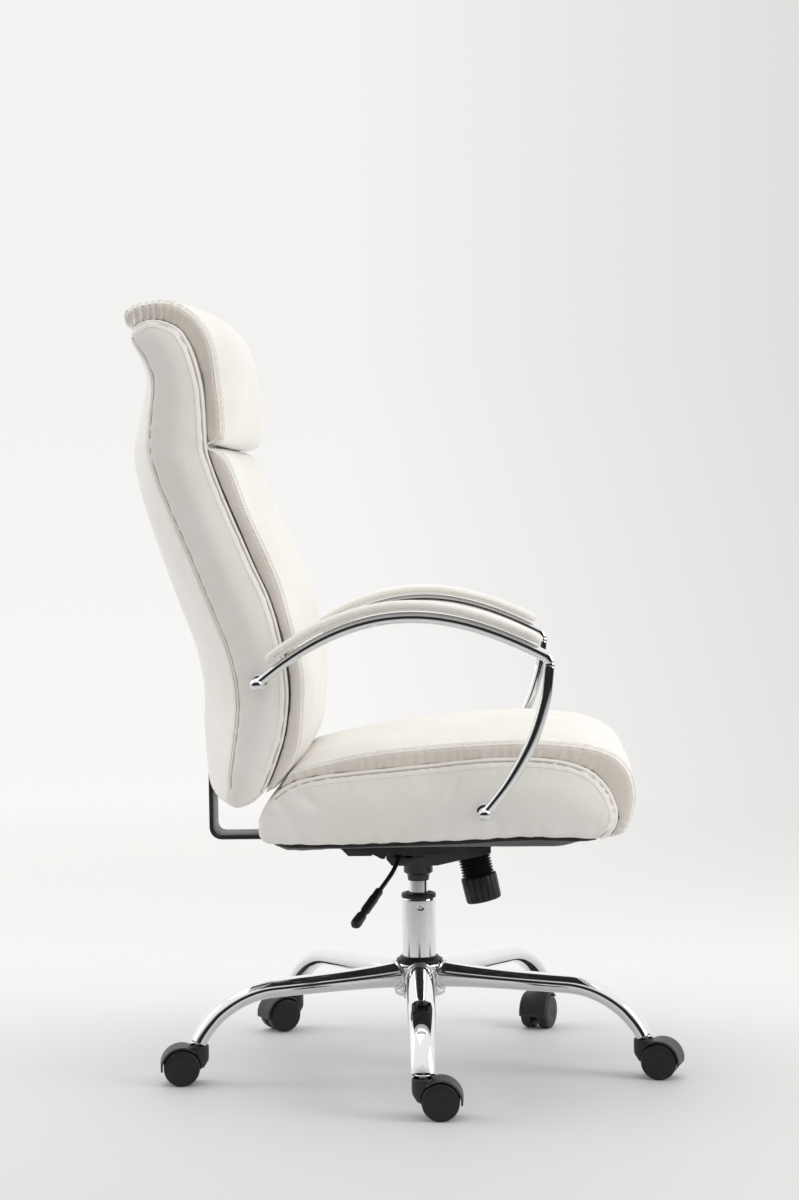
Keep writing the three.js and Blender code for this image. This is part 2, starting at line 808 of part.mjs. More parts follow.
function roundedPlate(width, rear, front, low, high, corner) {
  const half = width / 2;
  const shape = new THREE.Shape();
  shape.absarc(half - corner, -rear - corner, corner, 0, Math.PI / 2, false);
  shape.absarc(corner - half, -rear - corner, corner, Math.PI / 2, Math.PI, false);
  shape.absarc(corner - half, corner - front, corner, Math.PI, Math.PI * 1.5, false);
  shape.absarc(half - corner, corner - front, corner, Math.PI * 1.5, Math.PI * 2, false);
  const settings = { depth: high - low, bevelEnabled: false, curveSegments: 5 };
  return new THREE.ExtrudeGeometry(shape, settings).translate(0, 0, low);
}

function seat() {
  const group = new THREE.Group();
  const boardFront = 258;
  const boardRear = -196;
  const boardWidth = seatWidth - 36;
  const boardTop = boardBottom + boardThickness;
  const board = roundedPlate(boardWidth, boardRear, boardFront, boardBottom, boardTop, 40);
  group.add(piece("seat_board", board, "plywood"));
  const liningBottom = plateTop + GAP;
  const lining = roundedPlate(
    boardWidth + 8,
    boardRear - 4,
    boardFront + 4,
    liningBottom,
    liningBottom + liningThickness,
    44,
  );
  group.add(piece("seat_lining", lining, "lining"));
  const lower = cushionGeometry({
    width: seatWidth,
    fixed: [...seatWelt].reverse(),
    free: seatUnder,
    crown: 0,
    towards: [0, 0],
    along: () => 0,
    edge: 7,
  });
  group.add(piece("seat_base_cushion", lower, "leather"));
  const upper = cushionGeometry({
    width: seatTopWidth,
    fixed: offsetLine(seatWelt, () => SOFT_GAP),
    free: [...seatFace].reverse(),
    crown: seatCrown,
    towards: [0, 1],
    along: fullInMiddle,
    edge: 12,
  });
  group.add(piece("seat_top_cushion", upper, "leather"));
  return group;
}

// ---------------------------------------------------------------- back
const bracketRear = -305;
const bracketFront = plateRear - 5;
const bracketTop = seatBottom + backBottom + 120;

// Flat bar bent up from under the seat into the back shell.
function bracketOutline(grown) {
  const outerBend = 18;
  const innerBend = outerBend - bracketThickness;
  const centre = [bracketRear + outerBend, plateTop - bracketThickness + outerBend];
  const arc = (radius, from, to) =>
    Array.from({ length: 6 }, (_, i) => {
      const angle = radians(from + ((to - from) * i) / 5);
      return [centre[0] + radius * Math.cos(angle), centre[1] + radius * Math.sin(angle)];
    });
  return [
    [bracketRear - grown, bracketTop + grown],
    ...arc(outerBend + grown, 180, 270),
    [bracketFront, plateTop - bracketThickness - grown],
    [bracketFront, plateTop + grown],
    ...arc(innerBend - grown, 270, 180),
    [bracketRear + bracketThickness + grown, bracketTop + grown],
  ];
}

function back() {
  const group = new THREE.Group();
  const bar = acrossChair(bracketOutline(0), -bracketWidth / 2, bracketWidth / 2);
  group.add(piece("back_bracket", bar, "blackSteel"));
  const shell = cushionGeometry({
    width: backWidth,
    fixed: [...shellFrontLow, ...shellFrontHigh.slice(1)],
    free: shellRear,
    crown: rearCrown,
    towards: [-1, 0],
    along: (s) => Math.sin(2 * s),
    edge: 8,
    taper: backTaper,
  });
  const slotHalf = bracketWidth / 2 + SOFT_GAP;
  const slotted = combine([shell], [acrossChair(bracketOutline(SOFT_GAP), -slotHalf, slotHalf)]);
  group.add(piece("back_shell", slotted, "leather"));
  const lumbar = cushionGeometry({
    width: backCushionWidth,
    fixed: offsetLine([...shellFrontLow].reverse().slice(1, -1), () => SOFT_GAP),
    free: lumbarFace,
    crown: backCrown,
    towards: [1, 0],
    along: fullInMiddle,
    edge: 10,
    taper: backTaper,
  });
  group.add(piece("back_cushion", lumbar, "leather"));
  const head = cushionGeometry({
    width: backCushionWidth,
    fixed: offsetLine([...shellFrontHigh].reverse().slice(0, -1), () => SOFT_GAP),
    free: headFace,
    crown: headCrown,
    towards: [1, 0],
    along: (s) => Math.cos((Math.PI / 2) * s),
    edge: 10,
    taper: backTaper,
  });
  group.add(piece("headrest", head, "leather"));
  return group;
}

// ---------------------------------------------------------------- arms
const strutLine = above([[101.5, 46], [137, 91], [168, 146], [186, 200], [192, 243]]);
const archLine = above([[189, 260], [121, 291], [31, 315], [-18, 314], [-67, 306], [-143, 273], [-207, 227]]);

const inArmPlane = (line) => line.map(([forward, height]) => new THREE.Vector3(-armOffset, -forward, height));

function armFrameGeometry() {
  const outward = () => new THREE.Vector3(1, 0, 0);
  const swelling = (t) => armEndRadius + (armTubeRadius - armEndRadius) * Math.sin((Math.PI / 2) * t);
  const strutSection = (t) => [swelling(Math.min(1, 2 * t)), swelling(Math.min(1, 2 * t))];
  const archSection = (t) => strutSection(1 - t);
  const strut = sweep(inArmPlane(smooth(strutLine, 6)), outward, strutSection, 8);
  const arch = sweep(inArmPlane(smooth(archLine, 12)), outward, archSection, 8);
  const ball = ([forward, height], radius) =>
    new THREE.SphereGeometry(radius, 8, 6).translate(-armOffset, -forward, height);
  const [low] = strutLine;
  const corner = strutLine[strutLine.length - 1];
  const rear = archLine[archLine.length - 1];
  const ballRadius = armEndRadius + 3;
  const spigot = ([forward, height], side) =>
    crosswise(armEndRadius + 1, -armOffset, -side - GAP, forward, height, 8);
  const cornerBall = ball([corner[0], corner[1] + 6], armTubeRadius);
  return combine([
    strut,
    arch,
    cornerBall,
    ball(low, ballRadius),
    ball(rear, ballRadius),
    spigot(low, seatWidth / 2),
    spigot(rear, (backWidth / 2) * backTaper(rear[1])),
  ]);
}

// Rounded pad lying along the arch.
function armPadGeometry() {
  const lift = armTubeRadius + SOFT_GAP + padThickness / 2;
  const line = offsetLine(smooth(archLine, 30).slice(0, 29), () => -lift).filter((_, i) => i % 3 === 1);
  const section = (t) => {
    const fullness = Math.min(1, 0.55 + 6 * Math.min(t, 1 - t));
    return [(padWidth / 2) * fullness, (padThickness / 2) * fullness];
  };
  return sweep(inArmPlane(line), () => new THREE.Vector3(1, 0, 0), section, 10);
}

// The left arm is the right one turned over the middle plane, rebuilt facing outwards.
function mirrored(geometry) {
  const copy = geometry.clone().applyMatrix4(new THREE.Matrix4().makeScale(-1, 1, 1));
  const index = copy.index.array;
  for (let i = 0; i < index.length; i += 3) [index[i], index[i + 1]] = [index[i + 1], index[i]];
  return copy;
}

function arms() {
  const group = new THREE.Group();
  const frame = armFrameGeometry();
  const pad = armPadGeometry();
  group.add(piece("arm_frame_right", frame, "chrome"), piece("arm_pad_right", pad, "leather"));
  group.add(piece("arm_frame_left", mirrored(frame), "chrome"));
  group.add(piece("arm_pad_left", mirrored(pad), "leather"));
  return group;
}

// ---------------------------------------------------------------- the whole chair
// The origin is on the floor, below the centre of the chair's footprint.
const chair = new THREE.Group();
chair.add(base(), casters(), gasLift(), mechanism(), lever(), seat(), back(), arms());
const footprint = new THREE.Box3().setFromObject(chair, true).getCenter(new THREE.Vector3());
chair.position.set(-footprint.x, -footprint.y, 0);

export default chair;
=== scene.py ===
"""High-back swivel office chair: the looks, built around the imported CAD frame.

Everything is in metres in the frame's own axes: the sitter faces -Y, the sitter's right is -X and +Z is up.
Outlines of the upholstery are written in millimetres as (forward, up) pairs: forward from the gas lift's
axis, and up from the top of the seat board.
"""

import json
import math

import bpy
import numpy as np
from mathutils import Matrix, Quaternion, Vector, noise
from mathutils.bvhtree import BVHTree


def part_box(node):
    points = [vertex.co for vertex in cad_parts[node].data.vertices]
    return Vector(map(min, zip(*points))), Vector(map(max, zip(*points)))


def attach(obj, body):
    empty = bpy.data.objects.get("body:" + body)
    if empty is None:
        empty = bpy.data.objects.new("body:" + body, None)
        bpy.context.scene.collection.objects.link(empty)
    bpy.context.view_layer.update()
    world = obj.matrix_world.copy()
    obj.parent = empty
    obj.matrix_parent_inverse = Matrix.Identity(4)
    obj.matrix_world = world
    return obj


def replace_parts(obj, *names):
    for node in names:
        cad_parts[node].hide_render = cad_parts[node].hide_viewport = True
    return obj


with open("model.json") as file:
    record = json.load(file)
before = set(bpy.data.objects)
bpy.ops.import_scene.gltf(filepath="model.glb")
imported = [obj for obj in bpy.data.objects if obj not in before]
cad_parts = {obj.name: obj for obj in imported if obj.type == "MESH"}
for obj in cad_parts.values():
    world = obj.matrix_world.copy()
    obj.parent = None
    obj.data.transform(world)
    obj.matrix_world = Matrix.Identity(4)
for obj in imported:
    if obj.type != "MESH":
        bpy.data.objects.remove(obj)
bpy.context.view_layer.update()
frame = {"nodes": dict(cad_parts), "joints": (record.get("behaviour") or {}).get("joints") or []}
MM = 0.001

# ------------------------------------------------------------------ places taken from the frame


def middle(node):
    low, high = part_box(node)
    return (low + high) / 2


def size(node):
    low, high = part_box(node)
    return high - low


AXIS = middle("piston_rod")  # the lift's axis, in X and Y
SEAT_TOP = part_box("seat_board")[1].z
SEAT_HALF = size("seat_base_cushion").x / 2
SEAT_TOP_HALF = size("seat_top_cushion").x / 2
SHELL_HALF = size("back_shell").x / 2
BACK_HALF = size("back_cushion").x / 2
HEAD_HALF = size("headrest").x / 2
JOINTS = {joint["name"]: joint for joint in frame["joints"]}


def spot(side, forward, up):
    """A point `side` metres to the sitter's left of the middle, from an outline's (forward, up) in mm."""
    return Vector((AXIS.x + side, AXIS.y - forward * MM, SEAT_TOP + up * MM))


# ------------------------------------------------------------------ materials


class Tree:
    """A node tree that is built by linking outputs to inputs."""

    def __init__(self, tree):
        self.tree = tree

    def add(self, kind, **inputs):
        node = self.tree.nodes.new(kind)
        for socket, value in inputs.items():
            node.inputs[socket].default_value = value
        return node

    def link(self, source, target):
        self.tree.links.new(source, target)

    def maths(self, kind, operation, *sources):
        """A maths node of some kind: each source is another node's output or a plain value."""
        node = self.add(kind)
        node.operation = operation
        for source, socket in zip(sources, node.inputs):
            if isinstance(source, bpy.types.NodeSocket):
                self.link(source, socket)
            else:
                socket.default_value = source
        return node

    def between(self, value, low, high, out_low, out_high):
        """Maps a value's range onto another range, clamped."""
        node = self.add("ShaderNodeMapRange")
        for socket, number in zip(node.inputs[1:5], (low, high, out_low, out_high)):
            socket.default_value = number
        self.link(value, node.inputs[0])
        return node.outputs[0]

    def tint(self, value, stops):
        """A colour ramp: stops are (position, (r, g, b))."""
        node = self.add("ShaderNodeValToRGB")
        while len(node.color_ramp.elements) < len(stops):
            node.color_ramp.elements.new(0.5)
        for element, (position, colour) in zip(node.color_ramp.elements, stops):
            element.position = position
            element.color = (*colour, 1)
        self.link(value, node.inputs["Fac"])
        return node.outputs["Color"]


class Nodes(Tree):
    """A material's node tree, with its shader and its object coordinates ready to link."""

    def __init__(self, name, **sockets):
        self.material = bpy.data.materials.new(name)
        self.material.use_nodes = True
        super().__init__(self.material.node_tree)
        self.shader = self.tree.nodes["Principled BSDF"]
        self.coordinates = self.add("ShaderNodeTexCoord").outputs["Object"]
        for socket, value in sockets.items():
            self.shader.inputs[socket.replace("_", " ")].default_value = value

    def stretched(self, scale):
        """Object coordinates multiplied by a vector."""
        mapping = self.add("ShaderNodeMapping", Scale=scale)
        self.link(self.coordinates, mapping.inputs["Vector"])
        return mapping.outputs["Vector"]

    def noise(self, scale, detail=2.0, roughness=0.5, distortion=0.0, vector=None):
        node = self.add("ShaderNodeTexNoise", Scale=scale, Detail=detail, Roughness=roughness,
                        Distortion=distortion)
        self.link(vector or self.coordinates, node.inputs["Vector"])
        return node.outputs["Fac"]

    def cells(self, scale, feature="DISTANCE_TO_EDGE"):
        node = self.add("ShaderNodeTexVoronoi", Scale=scale)
        node.feature = feature
        self.link(self.coordinates, node.inputs["Vector"])
        return node.outputs["Distance"]

    def bump(self, height, strength, distance, below=None):
        node = self.add("ShaderNodeBump", Strength=strength, Distance=distance)
        self.link(height, node.inputs["Height"])
        if below is not None:
            self.link(below, node.inputs["Normal"])
        return node.outputs["Normal"]

    def finish(self, colour, roughness, normal):
        for value, socket in ((colour, "Base Color"), (roughness, "Roughness"), (normal, "Normal")):
            self.link(value, self.shader.inputs[socket])
        return self.material


def leather(name, pale, shade):
    """Coated leather: a fine pebbled grain over soft creases, a little shinier on the pebbles."""
    n = Nodes(name, IOR=1.46, Specular_IOR_Level=0.45, Sheen_Weight=0.12, Sheen_Roughness=0.5)
    patches = n.noise(9, 3, 0.6)
    colour = n.tint(patches, [(0.30, shade), (0.62, pale)])
    pebbles = n.between(n.cells(850), 0.0, 0.35, 0, 1)
    pores = n.noise(2600, 2)
    creases = n.noise(38, 4, 0.55, 1.6)
    roughness = n.between(n.noise(130, 3), 0.3, 0.7, 0.40, 0.52)
    soft = n.bump(creases, 0.25, 0.0022)
    grain = n.bump(pebbles, 0.22, 0.00022, soft)
    return n.finish(colour, roughness, n.bump(pores, 0.15, 0.00008, grain))


def chrome(name, colour, low, high):
    """Polished plating with faint wiping marks."""
    n = Nodes(name, Metallic=1.0)
    tone = n.tint(n.noise(14, 2), [(0.3, [c * 0.96 for c in colour]), (0.7, colour)])
    marks = n.noise(60, 4, 0.6, 0.8, n.stretched((1, 1, 6)))
    ripple = n.bump(n.noise(42, 1), 0.06, 0.0004)
    return n.finish(tone, n.between(marks, 0.35, 0.7, low, high), ripple)


def brushed(name, colour, low, high):
    """Machined steel with fine marks in one direction."""
    n = Nodes(name, Metallic=1.0)
    lines = n.noise(220, 3, 0.6, 0, n.stretched((1, 1, 40)))
    tone = n.tint(lines, [(0.25, [c * 0.82 for c in colour]), (0.75, colour)])
    return n.finish(tone, n.between(lines, 0.2, 0.8, low, high), n.bump(lines, 0.12, 0.0001))


def powder_coat(name, dark, light):
    """Black paint baked on steel, with an orange-peel skin."""
    n = Nodes(name, Specular_IOR_Level=0.5, Coat_Weight=0.15, Coat_Roughness=0.35)
    peel = n.cells(520, "SMOOTH_F1")
    tone = n.tint(n.noise(24, 4), [(0.3, dark), (0.7, light)])
    return n.finish(tone, n.between(n.noise(300, 2), 0.3, 0.7, 0.36, 0.52), n.bump(peel, 0.2, 0.0003))


def moulded_plastic(name, dark, light, low, high, grain=0.22):
    """Injection-moulded plastic with a spark-eroded texture and a few scuffs."""
    n = Nodes(name, IOR=1.48, Specular_IOR_Level=0.42)
    texture = n.noise(1900, 2, 0.6)
    scuffs = n.noise(80, 5, 0.7, 2.5)
    tone = n.tint(scuffs, [(0.35, dark), (0.72, light)])
    return n.finish(tone, n.between(scuffs, 0.3, 0.75, low, high), n.bump(texture, grain, 0.0002))


def woven_lining(name, dark, light):
    """Thin black cloth: two sets of threads that cross."""
    n = Nodes(name, Sheen_Weight=0.25)
    threads = []
    for direction in ("X", "Y"):
        wave = n.add("ShaderNodeTexWave", Scale=330, Distortion=0.6)
        wave.bands_direction = direction
        n.link(n.coordinates, wave.inputs["Vector"])
        threads.append(wave.outputs["Fac"])
    weave = n.maths("ShaderNodeMath", "MULTIPLY", *threads).outputs[0]
    return n.finish(n.tint(weave, [(0.1, dark), (0.8, light)]), n.between(weave, 0, 1, 0.8, 0.95),
                    n.bump(weave, 0.5, 0.0004))


def plywood(name):
    """Birch plies, with the grain along the board's depth."""
    n = Nodes(name, Specular_IOR_Level=0.3)
    grain = n.noise(30, 6, 0.65, 0.4, n.stretched((6, 0.5, 60)))
    tone = n.tint(grain, [(0.3, (0.38, 0.24, 0.12)), (0.5, (0.55, 0.38, 0.21)), (0.7, (0.66, 0.49, 0.30))])
    return n.finish(tone, n.between(grain, 0.3, 0.7, 0.55, 0.75), n.bump(grain, 0.3, 0.0004))


WHITE = leather("leather_white", (0.86, 0.836, 0.797), (0.805, 0.778, 0.735))
# Painted shade: the boxing strips get a darker, warmer copy of the white leather, which stands in for the shade on
# their sideways-facing sides.
SHADED_BOXING = leather("leather_boxing_painted_shade", (0.76, 0.70, 0.635), (0.70, 0.64, 0.575))
# Painted seam shadow: dark brown strips laid along both sides of the welts and the rear seam beads stand in for the
# shadow in the seams.
SEAM_SHADOW = leather("painted_seam_shadow", (0.50, 0.43, 0.36), (0.42, 0.355, 0.295))
THREAD = leather("thread_white", (0.80, 0.77, 0.72), (0.70, 0.67, 0.62))
CHROME = chrome("chrome_polished", (0.80, 0.81, 0.825), 0.03, 0.075)
LIFT_CHROME = chrome("chrome_satin", (0.80, 0.805, 0.815), 0.12, 0.22)
STEEL = brushed("steel_machined", (0.62, 0.63, 0.64), 0.25, 0.42)
BLACK_STEEL = powder_coat("steel_black", (0.009, 0.009, 0.009), (0.019, 0.019, 0.020))
BLACK = moulded_plastic("plastic_black", (0.011, 0.011, 0.012), (0.022, 0.022, 0.023), 0.36, 0.50)
HOOD = moulded_plastic("plastic_hood", (0.015, 0.015, 0.016), (0.026, 0.026, 0.027), 0.40, 0.54, 0.3)
WHEEL = moulded_plastic("plastic_wheel", (0.008, 0.008, 0.009), (0.015, 0.015, 0.016), 0.38, 0.52)
LINING = woven_lining("cloth_lining", (0.006, 0.006, 0.006), (0.022, 0.022, 0.022))
PLYWOOD = plywood("birch_plywood")

# ------------------------------------------------------------------ lines and outlines


def curve_through(points, count=None, pitch=None):
    """Evenly spaced points along a smooth open curve through the given ones."""
    p = np.array(points, float)
    p = np.vstack([2 * p[0] - p[1], p, 2 * p[-1] - p[-2]])
    dense = []
    for a, b, c, d in zip(p, p[1:], p[2:], p[3:]):
        for t in np.linspace(0, 1, 16, endpoint=False):
            dense.append(0.5 * (2 * b + (c - a) * t + (2 * a - 5 * b + 4 * c - d) * t**2
                                + (3 * b - a - 3 * c + d) * t**3))
    dense.append(p[-2])
    return evenly(np.array(dense), count, pitch)


def evenly(line, count=None, pitch=None):
    """The same line with its points evenly spaced: `count` points, or one every `pitch`."""
    line = np.asarray(line, float)
    steps = np.linalg.norm(np.diff(line, axis=0), axis=1)
    run = np.concatenate([[0], np.cumsum(steps)])
    if count is None:
        count = max(2, int(round(run[-1] / pitch)) + 1)
    wanted = np.linspace(0, run[-1], count)
    return np.column_stack([np.interp(wanted, run, line[:, k]) for k in range(line.shape[1])])


def inward(outline):
    """Unit normals that point into a closed counter-clockwise outline."""
    along = np.roll(outline, -1, 0) - np.roll(outline, 1, 0)
    along /= np.maximum(np.linalg.norm(along, axis=1), 1e-9)[:, None]
    return np.column_stack([-along[:, 1], along[:, 0]])


# ------------------------------------------------------------------ mesh building


def in_scene(name, data):
    """A new object in the scene for a mesh, a camera or a light."""
    thing = bpy.data.objects.new(name, data)
    bpy.context.scene.collection.objects.link(thing)
    return thing


def mesh_of(name, points, faces):
    mesh = bpy.data.meshes.new(name)
    mesh.from_pydata([tuple(p) for p in points], [], [tuple(f) for f in faces])
    return mesh


def mesh_piece(name, data, material, body, stands_for=(), angle=35):
    """Makes an object from (points, faces), or from a ready mesh, and sets it riding on its body."""
    if isinstance(data, bpy.types.Mesh):
        mesh = data
    else:
        mesh = mesh_of(name, *data)
        mesh.validate()
    if not mesh.materials:
        mesh.materials.append(material)
    thing = in_scene(name, mesh)
    mesh.polygons.foreach_set("use_smooth", [True] * len(mesh.polygons))
    if angle:
        mesh.set_sharp_from_angle(angle=math.radians(angle))
    if body:
        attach(thing, body)
    if stands_for:
        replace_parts(thing, *stands_for)
    return thing


def merged(parts):
    """Several (points, faces) as one."""
    points, faces = [], []
    for part_points, part_faces in parts:
        faces += [[i + len(points) for i in face] for face in part_faces]
        points += [Vector(p) for p in part_points]
    return points, faces


def placed(data, matrix):
    return [matrix @ Vector(p) for p in data[0]], data[1]


def along_z(place, direction, up="Y"):
    """The frame at a place whose Z axis is a given direction."""
    return Matrix.Translation(place) @ Vector(direction).to_track_quat("Z", up).to_matrix().to_4x4()


def lofted(rings):
    """A closed body through rings of equally many points, with a flat cap at both ends."""
    n = len(rings[0])
    points = [Vector(p) for ring in rings for p in ring]
    faces = []
    for r in range(len(rings) - 1):
        for i in range(n):
            j = (i + 1) % n
            faces.append((r * n + i, r * n + j, (r + 1) * n + j, (r + 1) * n + i))
    faces.append(tuple(reversed(range(n))))
    faces.append(tuple(range((len(rings) - 1) * n, len(rings) * n)))
    return points, faces


def inside_out(data):
    """The same body with every face turned over."""
    return data[0], [tuple(reversed(face)) for face in data[1]]


def turned(profile, sides=64):
    """Body of revolution about +Z from (radius, height) pairs in mm, from the bottom's middle to the top's."""
    rings = []
    for radius, height in profile:
        r = max(radius, 0.01) * MM
        angles = [2 * math.pi * i / sides for i in range(sides)]
        rings.append([(r * math.cos(a), r * math.sin(a), height * MM) for a in angles])
    return lofted(rings)


def hollow_turned(profile, sides=64):
    """Ring-shaped body of revolution: the profile is a closed loop that never meets the axis."""
    rings = [[(r * MM * math.cos(a), r * MM * math.sin(a), h * MM) for r, h in profile]
             for a in np.linspace(0, 2 * math.pi, sides, endpoint=False)]
    n = len(profile)
    points = [Vector(p) for ring in rings for p in ring]
    faces = [(r * n + i, ((r + 1) % sides) * n + i, ((r + 1) % sides) * n + (i + 1) % n, r * n + (i + 1) % n)
             for r in range(sides) for i in range(n)]
    return points, faces


def rounded(corners, radius, steps=4):
    """A profile with each inner corner cut by a small arc-like chamfer of `steps` points."""
    corners = [np.array(c, float) for c in corners]
    out = [corners[0]]
    for before, corner, after in zip(corners, corners[1:], corners[2:]):
        a, b = before - corner, after - corner
        la, lb = np.linalg.norm(a), np.linalg.norm(b)
        cut = min(radius, 0.45 * la, 0.45 * lb)
        start, end = corner + a / la * cut, corner + b / lb * cut
        for t in np.linspace(0, 1, steps + 1):
            out.append((1 - t) ** 2 * start + 2 * t * (1 - t) * corner + t**2 * end)
    out.append(corners[-1])
    return [tuple(p) for p in out]


def swept(path, section, sideways=(1, 0, 0), domed=True):
    """A bar along a path. section(t) gives a ring of (sideways, up) offsets; the ends are domed a little."""
    path = [Vector(p) for p in path]
    rings = []
    for i, centre in enumerate(path):
        along = (path[min(i + 1, len(path) - 1)] - path[max(i - 1, 0)]).normalized()
        t = i / (len(path) - 1)
        side = Vector(sideways(t) if callable(sideways) else sideways)
        side = (side - along * side.dot(along)).normalized()
        up = along.cross(side)
        rings.append([centre + side * u + up * v for u, v in section(t)])
    if domed:
        for end, direction in ((0, -1), (-1, 1)):
            centre = sum((Vector(p) for p in rings[end]), Vector()) / len(rings[end])
            neighbour = path[1] if end == 0 else path[-2]
            out = (Vector(path[end]) - neighbour).normalized()
            reach = min((Vector(p) - centre).length for p in rings[end])
            caps = [[centre + (Vector(p) - centre) * math.cos(a) + out * reach * 0.55 * math.sin(a)
                     for p in rings[end]] for a in (math.radians(28), math.radians(52), math.radians(72))]
            rings = caps[::-1] + rings if direction < 0 else rings + caps
    return lofted(rings)


def ellipse(half_width, half_height, sides=32, power=2.0):
    """Ring of (sideways, up) offsets; a power above 2 squares the ellipse off."""
    ring = []
    for i in range(sides):
        a = 2 * math.pi * (i + 0.5) / sides
        c, s = math.cos(a), math.sin(a)
        ring.append((half_width * math.copysign(abs(c) ** (2 / power), c),
                     half_height * math.copysign(abs(s) ** (2 / power), s)))
    return ring


def ball(centre, radius):
    profile = [(radius * math.sin(a) / MM, -radius * math.cos(a) / MM) for a in np.linspace(0, math.pi, 21)]
    return placed(turned(profile, 32), Matrix.Translation(centre))


def evaluated(thing):
    """The object's mesh with its modifiers applied."""
    graph = bpy.context.evaluated_depsgraph_get()
    return bpy.data.meshes.new_from_object(thing.evaluated_get(graph))


def with_modifier(mesh, kind, **settings):
    """A mesh after one modifier."""
    thing = in_scene("work", mesh)
    modifier = thing.modifiers.new("work", kind)
    for key, value in settings.items():
        setattr(modifier, key, value)
    result = evaluated(thing)
    bpy.data.objects.remove(thing)
    return result


def per_vertex(mesh, what):
    values = np.zeros(len(mesh.vertices) * 3, np.float32)
    mesh.vertices.foreach_get(what, values)
    return values.reshape(-1, 3).astype(float)


def coordinates(mesh):
    return per_vertex(mesh, "co")


def normals(mesh):
    return per_vertex(mesh, "normal")


def set_coordinates(mesh, co):
    mesh.vertices.foreach_set("co", co.astype(np.float32).ravel())
    mesh.update()


# ------------------------------------------------------------------ upholstery
VOXEL = 5.5 * MM
SIM_FRAMES = 20


def padded_solid(half, outline, rounding, crown_at, taper=lambda up: 1.0):
    """Closed body across the chair. `outline` is a closed (forward, up) loop in mm, `rounding` each
    point's edge radius at the two sides, and crown_at(t) its shift at t half-widths from the middle."""
    outline = np.asarray(outline, float)
    rounding = np.asarray(rounding, float)[:, None]
    normal = inward(outline)
    half_mm = half / MM
    edge = [0, 0.5, 1.5, 3, 5, 8, 12]
    inner = np.linspace(20, half_mm, 14)
    depth = np.concatenate([edge, inner])
    sides = [-(half_mm - d) for d in depth] + [half_mm - d for d in depth[-2::-1]]
    rings = []
    for x in sides:
        d = half_mm - abs(x)
        share = np.clip(1 - d / rounding, 0, 1)
        cut = rounding * (1 - np.sqrt(1 - share**2))
        loop = outline + normal * cut + crown_at(abs(x) / half_mm)
        rings.append([spot(x * MM * taper(up), forward, up) for forward, up in loop])
    return inside_out(lofted(rings))


def pillow(name, data, seams, cap, pressure=4.0, hold=9.0, voxel=VOXEL, smoothing=6, bulge=None):
    """Remeshes a padded body, blows it up by cloth simulation with its seams held, and refines it.
    `seams` are groups of lines in the frame; points within `hold` mm of one stay put."""
    mesh = with_modifier(mesh_of(name, *data), "REMESH", mode="VOXEL", voxel_size=voxel,
                         use_smooth_shade=True)
    mesh = with_modifier(mesh, "SMOOTH", factor=0.5, iterations=smoothing)
    mesh.name = name
    blow_up(mesh, [line for lines in seams for line in lines], cap, pressure, hold)
    if bulge:
        filled_out(mesh, seams, *bulge)
    return with_modifier(mesh, "SUBSURF", levels=1, render_levels=1)


LINE_PITCH = 0.006


def near_lines(co, lines):
    """Each point's distance to the nearest of some lines, and how far along that line it is."""
    best = np.full(len(co), 1e9)
    where = np.zeros(len(co))
    for line in lines:
        line = evenly(np.array([tuple(p) for p in line]), pitch=LINE_PITCH)
        for k, p in enumerate(line):
            away = np.linalg.norm(co - p, axis=1)
            closer = away < best
            best[closer] = away[closer]
            where[closer] = k * LINE_PITCH
    return best, where


def blow_up(mesh, seams, cap, pressure, hold):
    """Inflates a closed cloth for a few frames; no point moves more than about `cap` mm."""
    rest = coordinates(mesh)
    thing = in_scene("sim", mesh)
    away, _ = near_lines(rest, seams)
    weight = np.clip(1.6 - away / (hold * MM), 0, 1)
    held = thing.vertex_groups.new(name="held")
    for i in np.nonzero(weight > 0)[0]:
        held.add([int(i)], float(weight[i]), "REPLACE")
    cloth = thing.modifiers.new("Cloth", "CLOTH")
    s = cloth.settings
    s.quality, s.mass = 5, 0.25
    s.tension_stiffness = s.compression_stiffness = 22
    s.shear_stiffness, s.bending_stiffness = 6, 1.2
    s.tension_damping = s.compression_damping = 8
    s.use_pressure, s.uniform_pressure_force = True, pressure
    s.vertex_group_mass = "held"
    s.pin_stiffness = 3
    s.effector_weights.gravity = 0
    cloth.collision_settings.use_collision = False
    cloth.point_cache.frame_start, cloth.point_cache.frame_end = 1, SIM_FRAMES
    for number in range(1, SIM_FRAMES + 1):
        bpy.context.scene.frame_set(number)
    result = evaluated(thing)
    moved = coordinates(result) - rest
    length = np.linalg.norm(moved, axis=1)
    limit = cap * MM * np.tanh(length / (cap * MM)) / np.maximum(length, 1e-9)
    bpy.data.objects.remove(thing)
    bpy.context.scene.frame_set(1)
    set_coordinates(mesh, rest + moved * limit[:, None])


def displace(mesh, amount):
    """Moves each point of a mesh along its normal by amount(points), in metres."""
    co = coordinates(mesh)
    set_coordinates(mesh, co + normals(mesh) * amount(co)[:, None])


def puckers(co, line, pitch, depth, reach, seed):
    """Small gathers that run away from a sewn line."""
    away, where = near_lines(co, [line])
    drift = np.array([noise.noise(Vector((w * 14, seed, 0))) for w in where])
    strength = np.array([0.45 + 0.55 * noise.noise(Vector((w * 9, seed + 5, 0))) for w in where])
    wave = np.sin(2 * math.pi * (where / pitch + 0.9 * drift))
    return depth * wave * np.clip(strength, 0, 1) * np.exp(-((away / reach) ** 1.5))


def groove(co, line, depth, width):
    """The valley that a row of stitches pulls into the padding."""
    away, _ = near_lines(co, [line])
    return -depth * np.exp(-((away / width) ** 2))


def creases(co, marks):
    """Soft hollows and swellings: each mark is (centre, direction, length, width, height)."""
    total = np.zeros(len(co))
    for centre, direction, length, width, height in marks:
        direction = Vector(direction).normalized()
        away = co - np.array(centre)
        along = away @ np.array(direction)
        across = np.linalg.norm(away - along[:, None] * np.array(direction), axis=1)
        total += height * np.exp(-((along / length) ** 2) - (across / width) ** 2)
    return total


